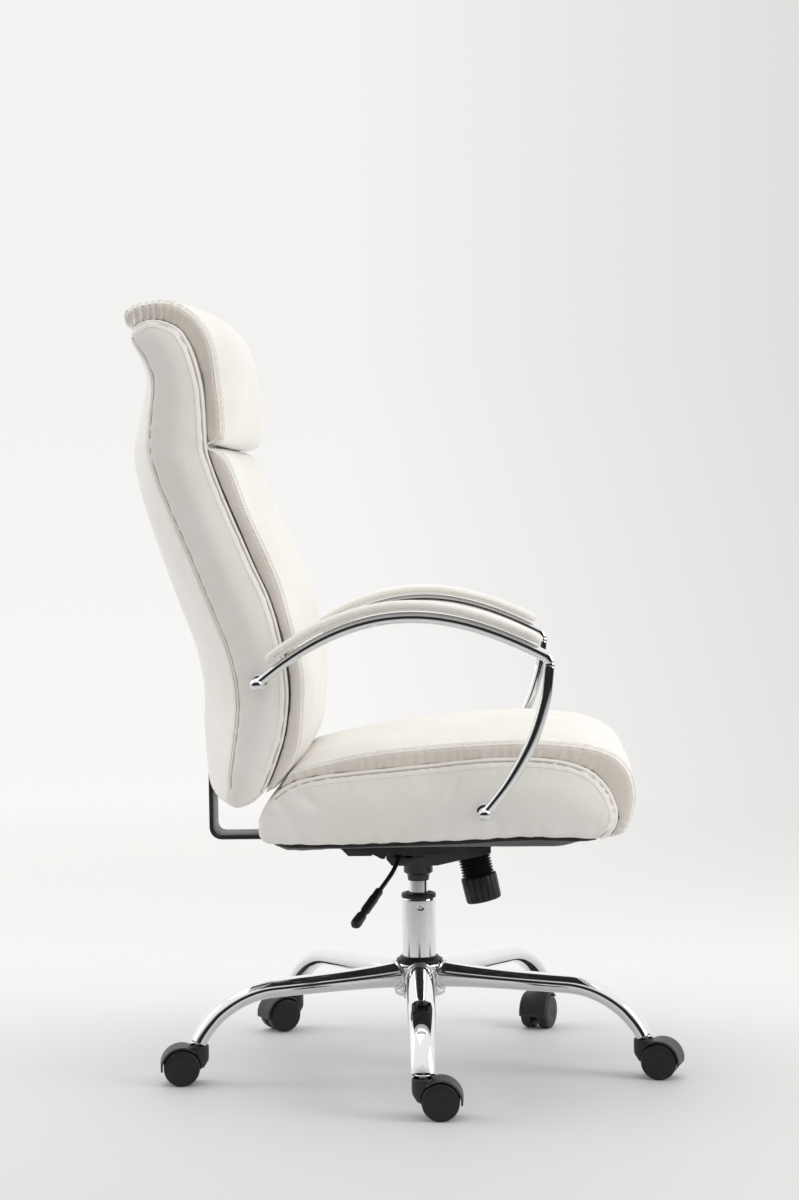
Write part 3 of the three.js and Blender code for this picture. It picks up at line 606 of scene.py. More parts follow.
def undulation(co, scale, height, seed):
    """Gentle unevenness of stuffed padding."""
    return height * np.array([noise.noise(Vector(p) * scale + Vector((seed, 0, 0))) for p in co])


def filled_out(mesh, seams, height, reach):
    """Rounds out the flat side panels, most where they are far from every seam; both sizes in metres.
    `seams` are groups of lines, one group for each seam."""
    co, out = coordinates(mesh), normals(mesh)
    amount = height * np.clip((np.abs(out[:, 0]) - 0.55) / 0.35, 0, 1)
    for lines in seams:
        away, _ = near_lines(co, lines)
        amount *= 1 - np.exp(-((away / reach) ** 2))
    co[:, 0] += np.sign(out[:, 0]) * amount
    set_coordinates(mesh, co)


def surface(*meshes):
    """A search tree over several meshes."""
    points, faces = [], []
    for mesh in meshes:
        start = len(points)
        points += [v.co.copy() for v in mesh.vertices]
        faces += [[start + i for i in p.vertices] for p in mesh.polygons]
    return BVHTree.FromPolygons(points, faces)


def settled(line, tree, lift, passes=6, pitch=4 * MM):
    """Lays a line on the nearest surface, smooths it and raises it by `lift` metres."""
    line = evenly(np.array([tuple(p) for p in line]), pitch=pitch)
    for _ in range(2):
        found = [tree.find_nearest(Vector(p)) for p in line]
        line = np.array([tuple(f[0] + f[1] * lift) for f in found])
        for _ in range(passes):
            line[1:-1] += 0.5 * ((line[:-2] + line[2:]) / 2 - line[1:-1])
    out = [tree.find_nearest(Vector(p))[1] for p in line]
    return line, out


def welt(line, tree, half_width, half_height, lift, sides=12, pitch=4 * MM):
    """A covered cord sewn into a seam, lying on the surface; half sizes in metres."""
    path, out = settled(line, tree, lift, passes=12, pitch=pitch)
    out = np.array([tuple(o) for o in out])
    for _ in range(8):
        out[1:-1] += 0.5 * ((out[:-2] + out[2:]) / 2 - out[1:-1])

    def sideways(t):
        i = min(int(round(t * (len(path) - 1))), len(path) - 1)
        along = path[min(i + 1, len(path) - 1)] - path[max(i - 1, 0)]
        return np.cross(out[i], along)

    return swept(path, lambda t: ellipse(half_width, half_height, sides), sideways)


def stitches(line, tree, gap, pitch=4.2 * MM, length=3.1 * MM, radius=0.32 * MM):
    """A row of thread stitches beside a line, `gap` metres to its left."""
    path, out = settled(line, tree, 0.0, pitch=pitch)
    parts = []
    for i in range(1, len(path) - 1):
        along = Vector(path[i + 1] - path[i - 1]).normalized()
        up = Vector(out[i])
        left = up.cross(along).normalized()
        here, normal, _, _ = tree.find_nearest(Vector(path[i]) + left * gap)
        ends = [here - along * length / 2, here - along * length / 4 + normal * radius * 1.3,
                here + along * length / 4 + normal * radius * 1.3, here + along * length / 2]
        parts.append(swept(ends, lambda t: ellipse(radius, radius, 5), tuple(left), domed=False))
    return merged(parts)


# Outlines of the seat, from the back round to the front.
WELT_LINE = [(-191, 68), (-171, 85), (-127, 96), (-70, 102), (43, 112), (99, 117), (155, 118), (193, 116),
             (228, 109), (252, 98), (268, 83), (281, 59), (287, 37), (284, 20), (275, 9), (262, 3)]
UNDER_LINE = [(-191, 68), (-205, 53), (-213, 35), (-214, 14), (-206, 3), (-192, 0), (-94, -1), (-45, 0), (79, 3),
              (136, 6.5), (173, 7), (229, 5), (250, 3.5), (262, 3)]
BOXING_LINE = [(-168, 103), (-71, 123), (43, 134), (156, 139), (231, 134), (261, 128), (284, 118), (302, 99),
               (309, 76), (309, 50), (302, 24), (290, 7)]
# Outlines of the back, from its foot up.
SHELL_SEAM = [(-204, 71), (-187, 112), (-173, 160), (-168, 216), (-176, 278), (-193, 340), (-211, 381),
              (-234, 437), (-255, 487), (-277, 547), (-278, 567), (-281, 629), (-288, 662), (-296, 689),
              (-307, 710), (-318, 721), (-343, 730), (-366, 727), (-379, 714)]
REAR_SEAM = [(-380, 703), (-364, 681), (-351, 654), (-350, 635), (-358, 565), (-356, 539), (-337, 482),
             (-294, 377), (-255, 281), (-245, 244), (-240, 215), (-240, 178), (-251, 104), (-255, 63),
             (-241, 50), (-211, 57)]
BACK_FRONT = [(-191, 76), (-173, 96), (-158, 121), (-151, 154), (-148, 204), (-149, 241), (-165, 315), (-179, 364),
              (-200, 415), (-220, 460), (-233, 498), (-246, 532), (-258, 547), (-273, 553)]
HEAD_FRONT = [(-274, 556.5), (-262, 556), (-256, 566), (-258, 616), (-262, 644), (-264, 672), (-269, 697),
              (-277, 717), (-292, 735), (-306, 746), (-319, 754), (-335, 757), (-358, 755), (-379, 751),
              (-391, 741), (-391, 729)]
GAP = 0.7  # between neighbouring cushions, mm
BACK_FLUSH = 0.005  # how far the filling pushes the boxing out of its cut width
BACK_BOTTOM, BACK_TOP, BACK_NARROWING = 50, 755, 0.05


def back_taper(up):
    rise = min(max((up - BACK_BOTTOM) / (BACK_TOP - BACK_BOTTOM), 0), 1)
    return 1 - BACK_NARROWING * rise


def shifted(line, distance):
    """Moves an open line to its left, in mm."""
    line = np.asarray(line, float)
    along = np.gradient(line, axis=0)
    along /= np.linalg.norm(along, axis=1)[:, None]
    return line + distance * np.column_stack([-along[:, 1], along[:, 0]])


def loop_of(fixed, free, fixed_rounding, free_rounding, pitch=7.0):
    """A closed counter-clockwise outline from a fixed line and a free one, with each point's edge rounding,
    its share of the way along the free line, and 1 where it is on the free line or 0 where it isn't."""
    fixed, free = evenly(fixed, pitch=pitch), evenly(free, pitch=pitch)
    outline = np.vstack([fixed, free])
    rounding = np.array([fixed_rounding] * len(fixed) + [free_rounding] * len(free), float)
    share = np.array([0.0] * len(fixed) + list(np.linspace(0, 1, len(free))))
    loose = np.array([0.0] * len(fixed) + [1.0] * len(free))
    x, y = outline.T
    turn = 1 if np.sum(x * np.roll(y, -1) - y * np.roll(x, -1)) > 0 else -1
    return outline[::turn], rounding[::turn], share[::turn], loose[::turn]


def crowned(share, loose, height, towards, profile, power=2.6):
    """crown_at for padded_solid: the free face stands out by `height` mm at the middle of the chair."""
    bulge = (np.array([profile(s) for s in share]) * loose)[:, None] * np.array(towards, float)
    return lambda t: bulge * height * (1 - t**power)


def both_sides(line, half, taper=lambda up: 1.0):
    """A (forward, up) line on the right and on the left side of the chair."""
    return [[spot(sign * half * taper(up), forward, up) for forward, up in line] for sign in (-1, 1)]


def around(line, half, taper):
    """The same line up one side, straight across the chair at its last point and down the other."""
    right, left = both_sides(line, half, taper)
    return right + left[::-1]


def low_at_end(s):
    """Where the seat and the back meet, at the end of each one's free line, their crowns die away sooner."""
    return max(math.sin(math.pi * s), 0) ** (0.5 if s < 0.5 else 0.9)


def sewn_surface(stuffing, *gathers, more=lambda co: 0.0):
    """amount(points) for displace. `stuffing` is (scale, height, seed) of the padding's unevenness. Each of
    `gathers` is (lines, pitch, depth, reach, seed) and, where the seam has a stitched valley, its
    (depth, width)."""
    def amount(co):
        total = undulation(co, *stuffing) + more(co)
        for lines, pitch, depth, reach, seed, *valley in gathers:
            for line in lines:
                total = total + puckers(co, line, pitch, depth, reach, seed)
                if valley:
                    total = total + groove(co, line, *valley[0])
        return total

    return amount


def upholstered(name, data, seams, stands_for, cap, detail, bulge=None):
    """A cushion: padded body, cloth simulation, sewn surface, leather."""
    mesh = pillow(name, data, seams, cap, bulge=bulge)
    displace(mesh, detail)
    thing = mesh_piece(name, mesh, WHITE, "seat", [stands_for], angle=None)
    return thing


# Seat: the lower cushion with the side panels.
welt_line = curve_through(WELT_LINE, pitch=7)
under_line = curve_through(UNDER_LINE, pitch=7)
outline, rounding, share, loose = loop_of(welt_line, under_line[::-1][1:-1], 14.0, 11.0)
seat_welts = both_sides(welt_line, SEAT_TOP_HALF + 0.001)
under_lines = both_sides(under_line, SEAT_HALF - 0.008)


def side_creases(co):
    """Folds in the side panels, round the arm's foot and at the rear."""
    return creases(co, [(spot(side, *place), direction, length, width, -depth)
                        for side in (-SEAT_HALF, SEAT_HALF)
                        for place, direction, length, width, depth in (
                            ((60, 78), (0, -0.5, 1), 0.024, 0.006, 0.0024),
                            ((118, 30), (0, -1, -0.4), 0.032, 0.008, 0.0022),
                            ((84, 47), (0, -0.6, 0.8), 0.020, 0.005, 0.0022),
                            ((-150, 70), (0, 1, 0.7), 0.028, 0.008, 0.0030),
                            ((-176, 52), (0, 0.4, 1), 0.026, 0.008, 0.0026))])


seat_base = upholstered(
    "seat_base_leather",
    padded_solid(SEAT_HALF - 0.008, outline, rounding, lambda t: 0),
    [seat_welts, under_lines], "seat_base_cushion", 8,
    sewn_surface((9, 0.0011, 3), (seat_welts, 0.019, 0.0009, 0.018, 11),
                 (under_lines, 0.034, 0.0018, 0.022, 23), more=side_creases),
    (0.011, 0.040))

# Seat: the upper cushion, a boxing strip round a crowned top.
boxing_line = curve_through(BOXING_LINE, pitch=7)
outline, rounding, share, loose = loop_of(shifted(welt_line, GAP), boxing_line[::-1], 2.5, 7.0)
seat_edges = both_sides(boxing_line, SEAT_TOP_HALF - 0.003)
STITCH_VALLEY = (0.0012, 0.004)  # depth and width
seat_top = upholstered(
    "seat_top_leather",
    padded_solid(SEAT_TOP_HALF - 0.002, outline, rounding,
                 crowned(share, loose, 17, (0.12, 1), low_at_end)),
    [seat_edges, seat_welts], "seat_top_cushion", 12,
    sewn_surface((7, 0.0014, 8), (seat_edges, 0.016, 0.0010, 0.016, 31, STITCH_VALLEY),
                 (seat_welts, 0.014, 0.0012, 0.014, 37)))

# Back: the shell, whose rear panel bulges.
shell_line = curve_through(SHELL_SEAM, pitch=7)
rear_line = curve_through(REAR_SEAM, pitch=7)
outline, rounding, share, loose = loop_of(shell_line, rear_line[:-1], 13.0, 9.0)
shell_welts = both_sides(shell_line, SHELL_HALF - 0.014, back_taper)
rear_seams = both_sides(rear_line, SHELL_HALF - 0.012, back_taper)


def rear_bulge(s):
    return math.sin(min(2.0 * s + 0.25, math.pi)) * (1 if s < 0.8 else 1 - (s - 0.8) * 2)


shell = upholstered(
    "back_shell_leather",
    padded_solid(SHELL_HALF - 0.009, outline, rounding,
                 crowned(share, loose, 70, (-1, 0), rear_bulge, 2.2), back_taper),
    [shell_welts, rear_seams], "back_shell", 10,
    sewn_surface((7, 0.0016, 14), (rear_seams, 0.030, 0.0011, 0.020, 41, (0.0016, 0.004)),
                 (shell_welts, 0.034, 0.0008, 0.014, 43)),
    (0.015, 0.038))

# Back: the cushion that the sitter leans on.
low_seam = np.array([p for p in shell_line if p[1] < 553])
outline, rounding, share, loose = loop_of(
    shifted(low_seam, -GAP), curve_through(BACK_FRONT, pitch=7)[::-1], 2.5, 8.0)
back_edges = both_sides(curve_through(BACK_FRONT, pitch=7), BACK_HALF + BACK_FLUSH, back_taper)
low_welts = both_sides(low_seam, SHELL_HALF - 0.012, back_taper)
back_cushion = upholstered(
    "back_cushion_leather",
    padded_solid(BACK_HALF + BACK_FLUSH, outline, rounding,
                 crowned(share, loose, 12, (1, 0.25), low_at_end), back_taper),
    [back_edges, low_welts], "back_cushion", 12,
    sewn_surface((8, 0.0014, 19), (back_edges, 0.018, 0.0009, 0.016, 47, STITCH_VALLEY)))

# Headrest: a thick roll that caps the back.
high_seam = np.array([p for p in shell_line if p[1] >= 553])
outline, rounding, share, loose = loop_of(
    shifted(high_seam, -GAP), curve_through(HEAD_FRONT, pitch=7)[::-1], 2.5, 8.0)
head_edges = both_sides(curve_through(HEAD_FRONT, pitch=7), HEAD_HALF + BACK_FLUSH, back_taper)
high_welts = both_sides(high_seam, SHELL_HALF - 0.012, back_taper)


def head_crown(t, bulge=32, droop=12):
    """The roll stands out most near its lower end, where it droops over the back cushion."""
    outwards = np.array([math.sin(math.pi / 2 * min(1, s / 0.7)) * (1 - 10 * max(s - 0.78, 0) ** 2)
                         * min(1, (1 - s) / 0.07) for s in share]) * loose
    downwards = np.array([math.exp(-(((s - 0.9) / 0.08) ** 2)) for s in share]) * loose
    return np.column_stack([bulge * outwards, -droop * downwards]) * (1 - t**2.6)


def tip_folds(co):
    """Gathers in the boxing where it is drawn in at the rear tip of the roll."""
    forward = (AXIS.y - co[:, 1]) / MM
    on_side = np.clip((np.abs(co[:, 0] - AXIS.x) - HEAD_HALF * 0.88) / 0.008, 0, 1)
    return 0.0014 * np.sin(2 * math.pi * forward / 9.5) * np.clip((-300 - forward) / 45, 0, 1) * on_side


headrest = upholstered(
    "headrest_leather",
    padded_solid(HEAD_HALF + BACK_FLUSH, outline, rounding, head_crown, back_taper),
    [head_edges, high_welts], "headrest", 12,
    sewn_surface((8, 0.0014, 27), (head_edges, 0.015, 0.0012, 0.018, 53, STITCH_VALLEY), more=tip_folds))

# ------------------------------------------------------------------ seams, welts and stitches
# The sideways-facing boxing faces of these cushions take the darker boxing leather, which is painted shade.
for thing, half in ((seat_top, SEAT_TOP_HALF), (back_cushion, BACK_HALF), (headrest, HEAD_HALF)):
    thing.data.materials.append(SHADED_BOXING)
    for face in thing.data.polygons:
        if abs(face.normal.x) > 0.72 and abs(face.center.x - AXIS.x) > 0.80 * half:
            face.material_index = 1

seat_tree = surface(seat_base.data, seat_top.data)
back_tree = surface(shell.data, back_cushion.data, headrest.data)


def sewn(name, parts, material, body="seat"):
    return mesh_piece(name, merged(parts), material, body, angle=60)


def beside(line, tree, gap):
    """A line on the surface, `gap` metres to the left of another."""
    path, out = settled(line, tree, 0.0, passes=14)
    points = []
    for i in range(len(path)):
        along = Vector(path[min(i + 1, len(path) - 1)] - path[max(i - 1, 0)])
        points.append(Vector(path[i]) + Vector(out[i]).cross(along).normalized() * gap)
    return points


def corded(name, lines, tree, half_width, half_height):
    """A covered cord sewn into a seam, with a thin dark strip on each side of it that is painted shadow in the seam.
    """
    sewn(f"{name}_welt", [welt(line, tree, half_width, half_height, 0.3 * MM) for line in lines], WHITE)
    gap = half_width + 0.7 * MM
    # Painted shadow in the seam: a thin dark strip on each side of the cord.
    sewn(f"{name}_seam", [welt(beside(line, tree, side * gap), tree, 0.9 * MM, 0.7 * MM, 0, 6)
                          for line in lines for side in (-1, 1)], SEAM_SHADOW)


corded("seat", seat_welts, seat_tree, 3.4 * MM, 2.2 * MM)
corded("back", [around(shell_line, SHELL_HALF - 0.016, back_taper)], back_tree, 2.8 * MM, 2.2 * MM)
sewn("rear_seam_beads", [welt(line, back_tree, 1.8 * MM, 1.4 * MM, 0.2 * MM, 8) for line in rear_seams],
     WHITE)
# Painted shadow in the seam: a thin dark strip on each side of each rear seam bead.
sewn("rear_seam_painted_shadow", [welt(beside(line, back_tree, side * 2.3 * MM), back_tree, 0.7 * MM, 0.6 * MM, 0, 6)
                          for line in rear_seams for side in (-1, 1)], SEAM_SHADOW)

for name, lines, tree, towards_panel in (("seat", seat_edges, seat_tree, 1),
                                         ("back", back_edges, back_tree, -1),
                                         ("headrest", head_edges, back_tree, -1)):
    sewn(f"{name}_edge_seams", [welt(line, tree, 1.4 * MM, 1.0 * MM, 0.1 * MM, 8) for line in lines], WHITE)
    sewn(f"{name}_stitches",
         [stitches(line, tree, -sign * towards_panel * gap) for line, sign in zip(lines, (-1, 1))
          for gap in (4.5 * MM, 9.5 * MM)], THREAD)
sewn("seat_side_stitches", [stitches(line, seat_tree, sign * 9 * MM) for line, sign in
                            zip(both_sides(welt_line[6:], SEAT_TOP_HALF + 0.008), (-1, 1))], THREAD)
sewn("back_side_stitches", [stitches(line, back_tree, -sign * 9 * MM) for line, sign in
                            zip(both_sides(shell_line[4:], SHELL_HALF - 0.010, back_taper), (-1, 1))], THREAD)

# ------------------------------------------------------------------ cloth under the seat


def rounded_rectangle(half_x, half_y, corner, count):
    """Points round a rounded rectangle, evenly spaced, counter-clockwise."""
    points = []
    for k, (sx, sy) in enumerate(((1, 1), (-1, 1), (-1, -1), (1, -1))):
        for a in np.linspace(0, math.pi / 2, 10):
            angle = a + k * math.pi / 2
            points.append((sx * (half_x - corner) + corner * math.cos(angle),
                           sy * (half_y - corner) + corner * math.sin(angle)))
    points.append(points[0])
    return evenly(points, count + 1)[:-1]


PAN_TOP = [(-196, -1), (-94, -1.5), (-45, -0.5), (79, 2.5), (136, 6), (173, 6.5), (229, 4.5), (258, 2.5)]
PAN_EDGE, PAN_THICK, PAN_INSET = 3.2, 12.0, 12.0
PAN_MIDDLE = middle("seat_board").y
UNDER_ROWS = [0.02, 0.3, 0.55, 0.66, 0.72, 0.78, 0.84, 0.90, 0.94, 0.97, 0.99]


def pan_heights(x, y, share, half):
    """Underside and top of the moulded seat pan in mm above the board's top, at `share` of the way to its
    rim: flat where the plate is bolted on, turned up and thinner towards the rim, except at the back."""
    forward = (AXIS.y - PAN_MIDDLE - y * share) / MM
    top = np.interp(forward, *zip(*PAN_TOP))
    at_rear = min(max((y / half.y - 0.8) / 0.2, 0), 1)
    reach = 62 - 48 * at_rear
    depth = (1 - share) * math.hypot(x, y) / MM
    t = min(max(1 - depth / reach, 0), 1)
    return -PAN_THICK + (top - PAN_EDGE + PAN_THICK) * t * t * (3 - 2 * t), top


def seat_pan():
    centre, half = middle("seat_board"), size("seat_board") / 2 - Vector((PAN_INSET, PAN_INSET * 0.3, 0)) * MM
    rim = rounded_rectangle(half.x, half.y, 0.040, 240)

    def ring(share, level, inset=1.0):
        points = []
        for x, y in rim:
            bottom, top = pan_heights(x, y, share, half)
            height = bottom + (top - bottom) * level
            points.append((centre.x + x * share * inset, centre.y + y * share * inset, SEAT_TOP + height * MM))
        return points

    under = [ring(share, 0) for share in UNDER_ROWS + [0.998]]
    edge = [ring(1, 0.25), ring(1, 0.75)]
    over = [ring(share, 1) for share in [0.998] + UNDER_ROWS[::-1]]
    mesh_piece("moulded_seat_pan", inside_out(lofted(under + edge + over)), PLYWOOD, "seat", ["seat_board"],
               angle=50)


def lining():
    """Black cloth stapled under the pan: it turns up round the edge in small gathers."""
    low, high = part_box("seat_lining")
    centre, half = (low + high) / 2, (high - low) / 2 - Vector((PAN_INSET, PAN_INSET * 0.3, 0)) * MM
    count, thick, gap = 360, 0.8, 0.4
    rim = rounded_rectangle(half.x - 0.002, half.y - 0.002, 0.042, count)
    floor_level = (low.z - SEAT_TOP) / MM
    flat = -PAN_THICK - gap - thick - floor_level  # slack that brings the cloth's flat part to its own height

    def ring(share, rise, offset, out=1.0):
        points = []
        for i, (x, y) in enumerate(rim):
            run = i / count * 2.0
            gather = noise.noise(Vector((run * 22, 3, 0))) + 0.5 * noise.noise(Vector((run * 55, 9, 0)))
            bottom, top = pan_heights(x, y, share, half)
            height = bottom - gap - thick - flat + offset
            if rise:
                height += rise * (top + 5 - height) + 0.5 * gather
            height -= 1.3 * max(gather, 0) * min(max((share - 0.8) / 0.15, 0), 1) * (1 - rise)
            reach = share * out * (1 + 0.003 * gather * min(max((share - 0.9) / 0.1, 0), 1))
            points.append((centre.x + x * reach, centre.y + y * reach, SEAT_TOP + height * MM))
        return points

    outside = [ring(share, 0, 0) for share in UNDER_ROWS] + [ring(1, 0.04, 0, 1.004), ring(1, 0.2, 0, 1.007),
                                                             ring(1, 0.6, 0, 1.008), ring(1, 1, 0, 1.008)]
    inside = [ring(1, 1, 0, 1.0035), ring(1, 0.4, thick, 1.0035)]
    inside += [ring(share - 0.002, 0, thick) for share in UNDER_ROWS[::-1]]
    mesh_piece("lining_cloth", inside_out(lofted(outside + inside)), LINING, "seat", ["seat_lining"],
               angle=None)


seat_pan()
lining()

# ------------------------------------------------------------------ arms
ARCH_LINE = [(189, 260), (121, 291), (31, 315), (-18, 314), (-67, 306), (-143, 273), (-207, 227)]
STRUT_LINE = [(101.5, 46), (137, 91), (168, 146), (186, 200), (192, 243)]
ARM_TUBE, ARM_END, ARM_BALL = 8.0, 6.2, 9.2
PAD_HALF = size("arm_pad_right").x / 2
PAD_THICK, PAD_GAP = 16.0, 0.8


def arch_curve():
    """The arch as one even bend through its points: height is a quartic in the distance forward."""
    forward, up = np.array(ARCH_LINE, float).T
    steps = np.linspace(forward[0], forward[-1], 30)
    return np.column_stack([steps, np.polyval(np.polyfit(forward, up, 4), steps)])


def arm(side_name):
    sign = -1 if side_name == "right" else 1
    pad = middle(f"arm_pad_{side_name}")
    across = pad.x - AXIS.x
    in_plane = lambda line: [spot(across, forward, up) for forward, up in line]
    arch, strut = curve_through(arch_curve(), 56), curve_through(STRUT_LINE, 34)
    swell = lambda t: (ARM_END + (ARM_TUBE - ARM_END) * math.sin(math.pi / 2 * min(1, 2 * t))) * MM
    tube = lambda radius: ellipse(radius, radius, 32)
    low, rear = strut[0], arch[-1]
    joint = strut[-1] + (0, 5)
    parts = [
        swept(in_plane(np.vstack([strut, [joint]])), lambda t: tube(swell(t))),
        swept(in_plane(np.vstack([[joint + (1, 4)], arch])), lambda t: tube(swell(1 - t))),
        ball(spot(across, *(joint + (0.5, 1))), ARM_TUBE * 1.02 * MM),
    ]
    for (forward, up), half in ((low, SEAT_HALF), (rear, SHELL_HALF * back_taper(rear[1]))):
        parts.append(ball(spot(across, forward, up), ARM_BALL * MM))
        spigot = [spot(sign * reach, forward, up) for reach in np.linspace(half - 0.006, abs(across), 6)]
        parts.append(swept(spigot, lambda t: tube(7 * MM), (0, 1, 0), domed=False))
        washer = [spot(sign * (half + d * MM), forward, up) for d in (-3, 1.6, 2.6)]
        parts.append(swept(washer, lambda t: tube((11 if t < 1 else 9.6) * MM), (0, 1, 0), domed=False))
    mesh_piece(f"arm_tube_{side_name}", merged(parts), CHROME, "seat", [f"arm_frame_{side_name}"], angle=50)

    lift = ARM_TUBE + PAD_GAP + PAD_THICK / 2
    line = shifted(curve_through(arch_curve(), 90)[3:-6], -lift)

    def section(t):
        end = min(t, 1 - t)
        full = min(1, math.sqrt(max(1 - (1 - min(end / 0.045, 1)) ** 2, 0.06)))
        width = PAD_HALF * (0.90 - 0.05 * t) * full
        return ellipse(width, PAD_THICK * 0.46 * MM * (0.55 + 0.45 * full), 28, 2.9)

    solid = swept(in_plane(line), section, domed=False)
    lower = shifted(line, PAD_THICK * 0.22)
    edges = [[spot(across + s * (PAD_HALF * 0.86), forward, up) for forward, up in lower[3:-3]]
             for s in (-1, 1)]
    mesh = pillow(f"arm_pad_leather_{side_name}", solid, [edges], 5, pressure=5.0, hold=4.0, voxel=3.6 * MM,
                  smoothing=4)
    displace(mesh, lambda co: undulation(co, 14, 0.0007, 33) + sum(
        puckers(co, edge, 0.017, 0.0006, 0.010, 61) + groove(co, edge, 0.0010, 0.0028) for edge in edges))
    cushion = mesh_piece(mesh.name, mesh, WHITE, "seat", [f"arm_pad_{side_name}"], angle=None)
    tree = surface(mesh)
    seams = [welt(edge, tree, 1.3 * MM, 0.9 * MM, 0.1 * MM, 8) for edge in edges]
    # The pad's seam beads take the darker boxing leather, which is painted shade along the seams.
    sewn(f"arm_pad_seams_{side_name}", seams, SHADED_BOXING)


arm("right")
arm("left")

# ------------------------------------------------------------------ base
HUB_LOW, HUB_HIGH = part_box("base_hub")
HUB_RADIUS, TUBE_RADIUS = size("base_hub").x / 2 / MM, size("lift_outer_tube").x / 2 / MM
LEG_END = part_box("base_leg_1")[0].z / MM
STEMS = [middle(f"caster_{i}_stem") for i in range(1, 6)]
LEG_REACH = (STEMS[0] - AXIS).to_2d().length / MM
LEG_ROOT = (HUB_LOW.z + 0.69 * (HUB_HIGH.z - HUB_LOW.z)) / MM
LEG_DROP, LEG_BEND, LEG_STRAIGHT, LEG_RISE = 61, 132, LEG_REACH - 117, 70
HUB_SHORTER, TUBE_LONGER = 11, 2.8  # than the frame's own, at the bottom and at the top, mm


def leg_line():
    """(outwards, up) points of the leg's centre line in mm: a slight fall, then a bend down to the caster."""
    root = HUB_RADIUS - 6
    middle_height = LEG_END + LEG_RISE
    straight = [(root + (LEG_STRAIGHT - root) * t, LEG_ROOT + (middle_height - LEG_ROOT) * t)
                for t in np.linspace(0, 1, 18, endpoint=False)]
    bend = [(LEG_STRAIGHT + LEG_BEND * math.sin(a), middle_height - LEG_BEND * (1 - math.cos(a)))
            for a in np.radians(np.linspace(0, LEG_DROP, 26))]
    last_out, last_up = bend[-1]
    steep = math.radians(LEG_DROP + 8)
    run = (last_up - LEG_END) / math.sin(steep)
    end = [(last_out + run * t * math.cos(steep), last_up - run * t * math.sin(steep))
           for t in (0.35, 0.7, 1.0)]
    return evenly(np.array(straight + bend + end), 56)


def leg_section(t):
    """Pressed flatter and wider in the middle, rounder at both ends; half sizes in metres."""
    pressed = math.sin(math.pi * min(t * 1.15, 1)) ** 0.7
    half_width = 18.6 + 3.2 * pressed - 1.5 * t
    half_height = 19.6 * (1 - t) + 11.4 * t - 4.6 * pressed * (1 - t)
    return ellipse(half_width * MM, half_height * MM, 48, 2.0 + 0.35 * pressed)


def legs():
    for i, stem in enumerate(STEMS, 1):
        out = (stem - AXIS).to_2d().normalized()
        sideways = (-out.y, out.x, 0)
        path = [Vector((AXIS.x + out.x * r * MM, AXIS.y + out.y * r * MM, z * MM)) for r, z in leg_line()]
        parts = [swept(path, leg_section, sideways, domed=False)]
        # Rolled lip at the open end and a weld bead where the leg meets the hub.
        lip = rounded([(7, 0), (11.5, 0), (12.6, 1.2), (11.5, 2.4), (7, 2.4), (7, 0)], 1)[:-1]
        socket = placed(hollow_turned(lip, 40), Matrix.Translation((stem.x, stem.y, LEG_END * MM - 0.0004)))
        bead = []
        for a in np.linspace(0, 2 * math.pi, 60, endpoint=False):
            side, up = 19.4 * math.cos(a) * MM, 20.2 * math.sin(a) * MM
            flat = math.sqrt(max((HUB_RADIUS * MM) ** 2 - side**2, 0)) + 0.4 * MM
            bead.append(Vector((AXIS.x + out.x * flat - out.y * side, AXIS.y + out.y * flat + out.x * side,
                                LEG_ROOT * MM + up)))
        bead += bead[:2]
        parts += [socket, swept(bead, lambda t: ellipse(2.2 * MM, 2.2 * MM, 10),
                                lambda t: (out.x, out.y, 0.01), domed=False)]
        mesh_piece(f"leg_tube_{i}", merged(parts), CHROME, "base", [f"base_leg_{i}"], angle=40)


def heights(node):
    """The bottom and the top of a node, in mm."""
    low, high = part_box(node)
    return low.z / MM, high.z / MM


def ring_piece(name, profile, material, body, node, sides=96, angle=50):
    """A hollow turned part round the lift's axis."""
    data = placed(hollow_turned(profile, sides), Matrix.Translation((AXIS.x, AXIS.y, 0)))
    mesh_piece(name, data, material, body, [node], angle=angle)


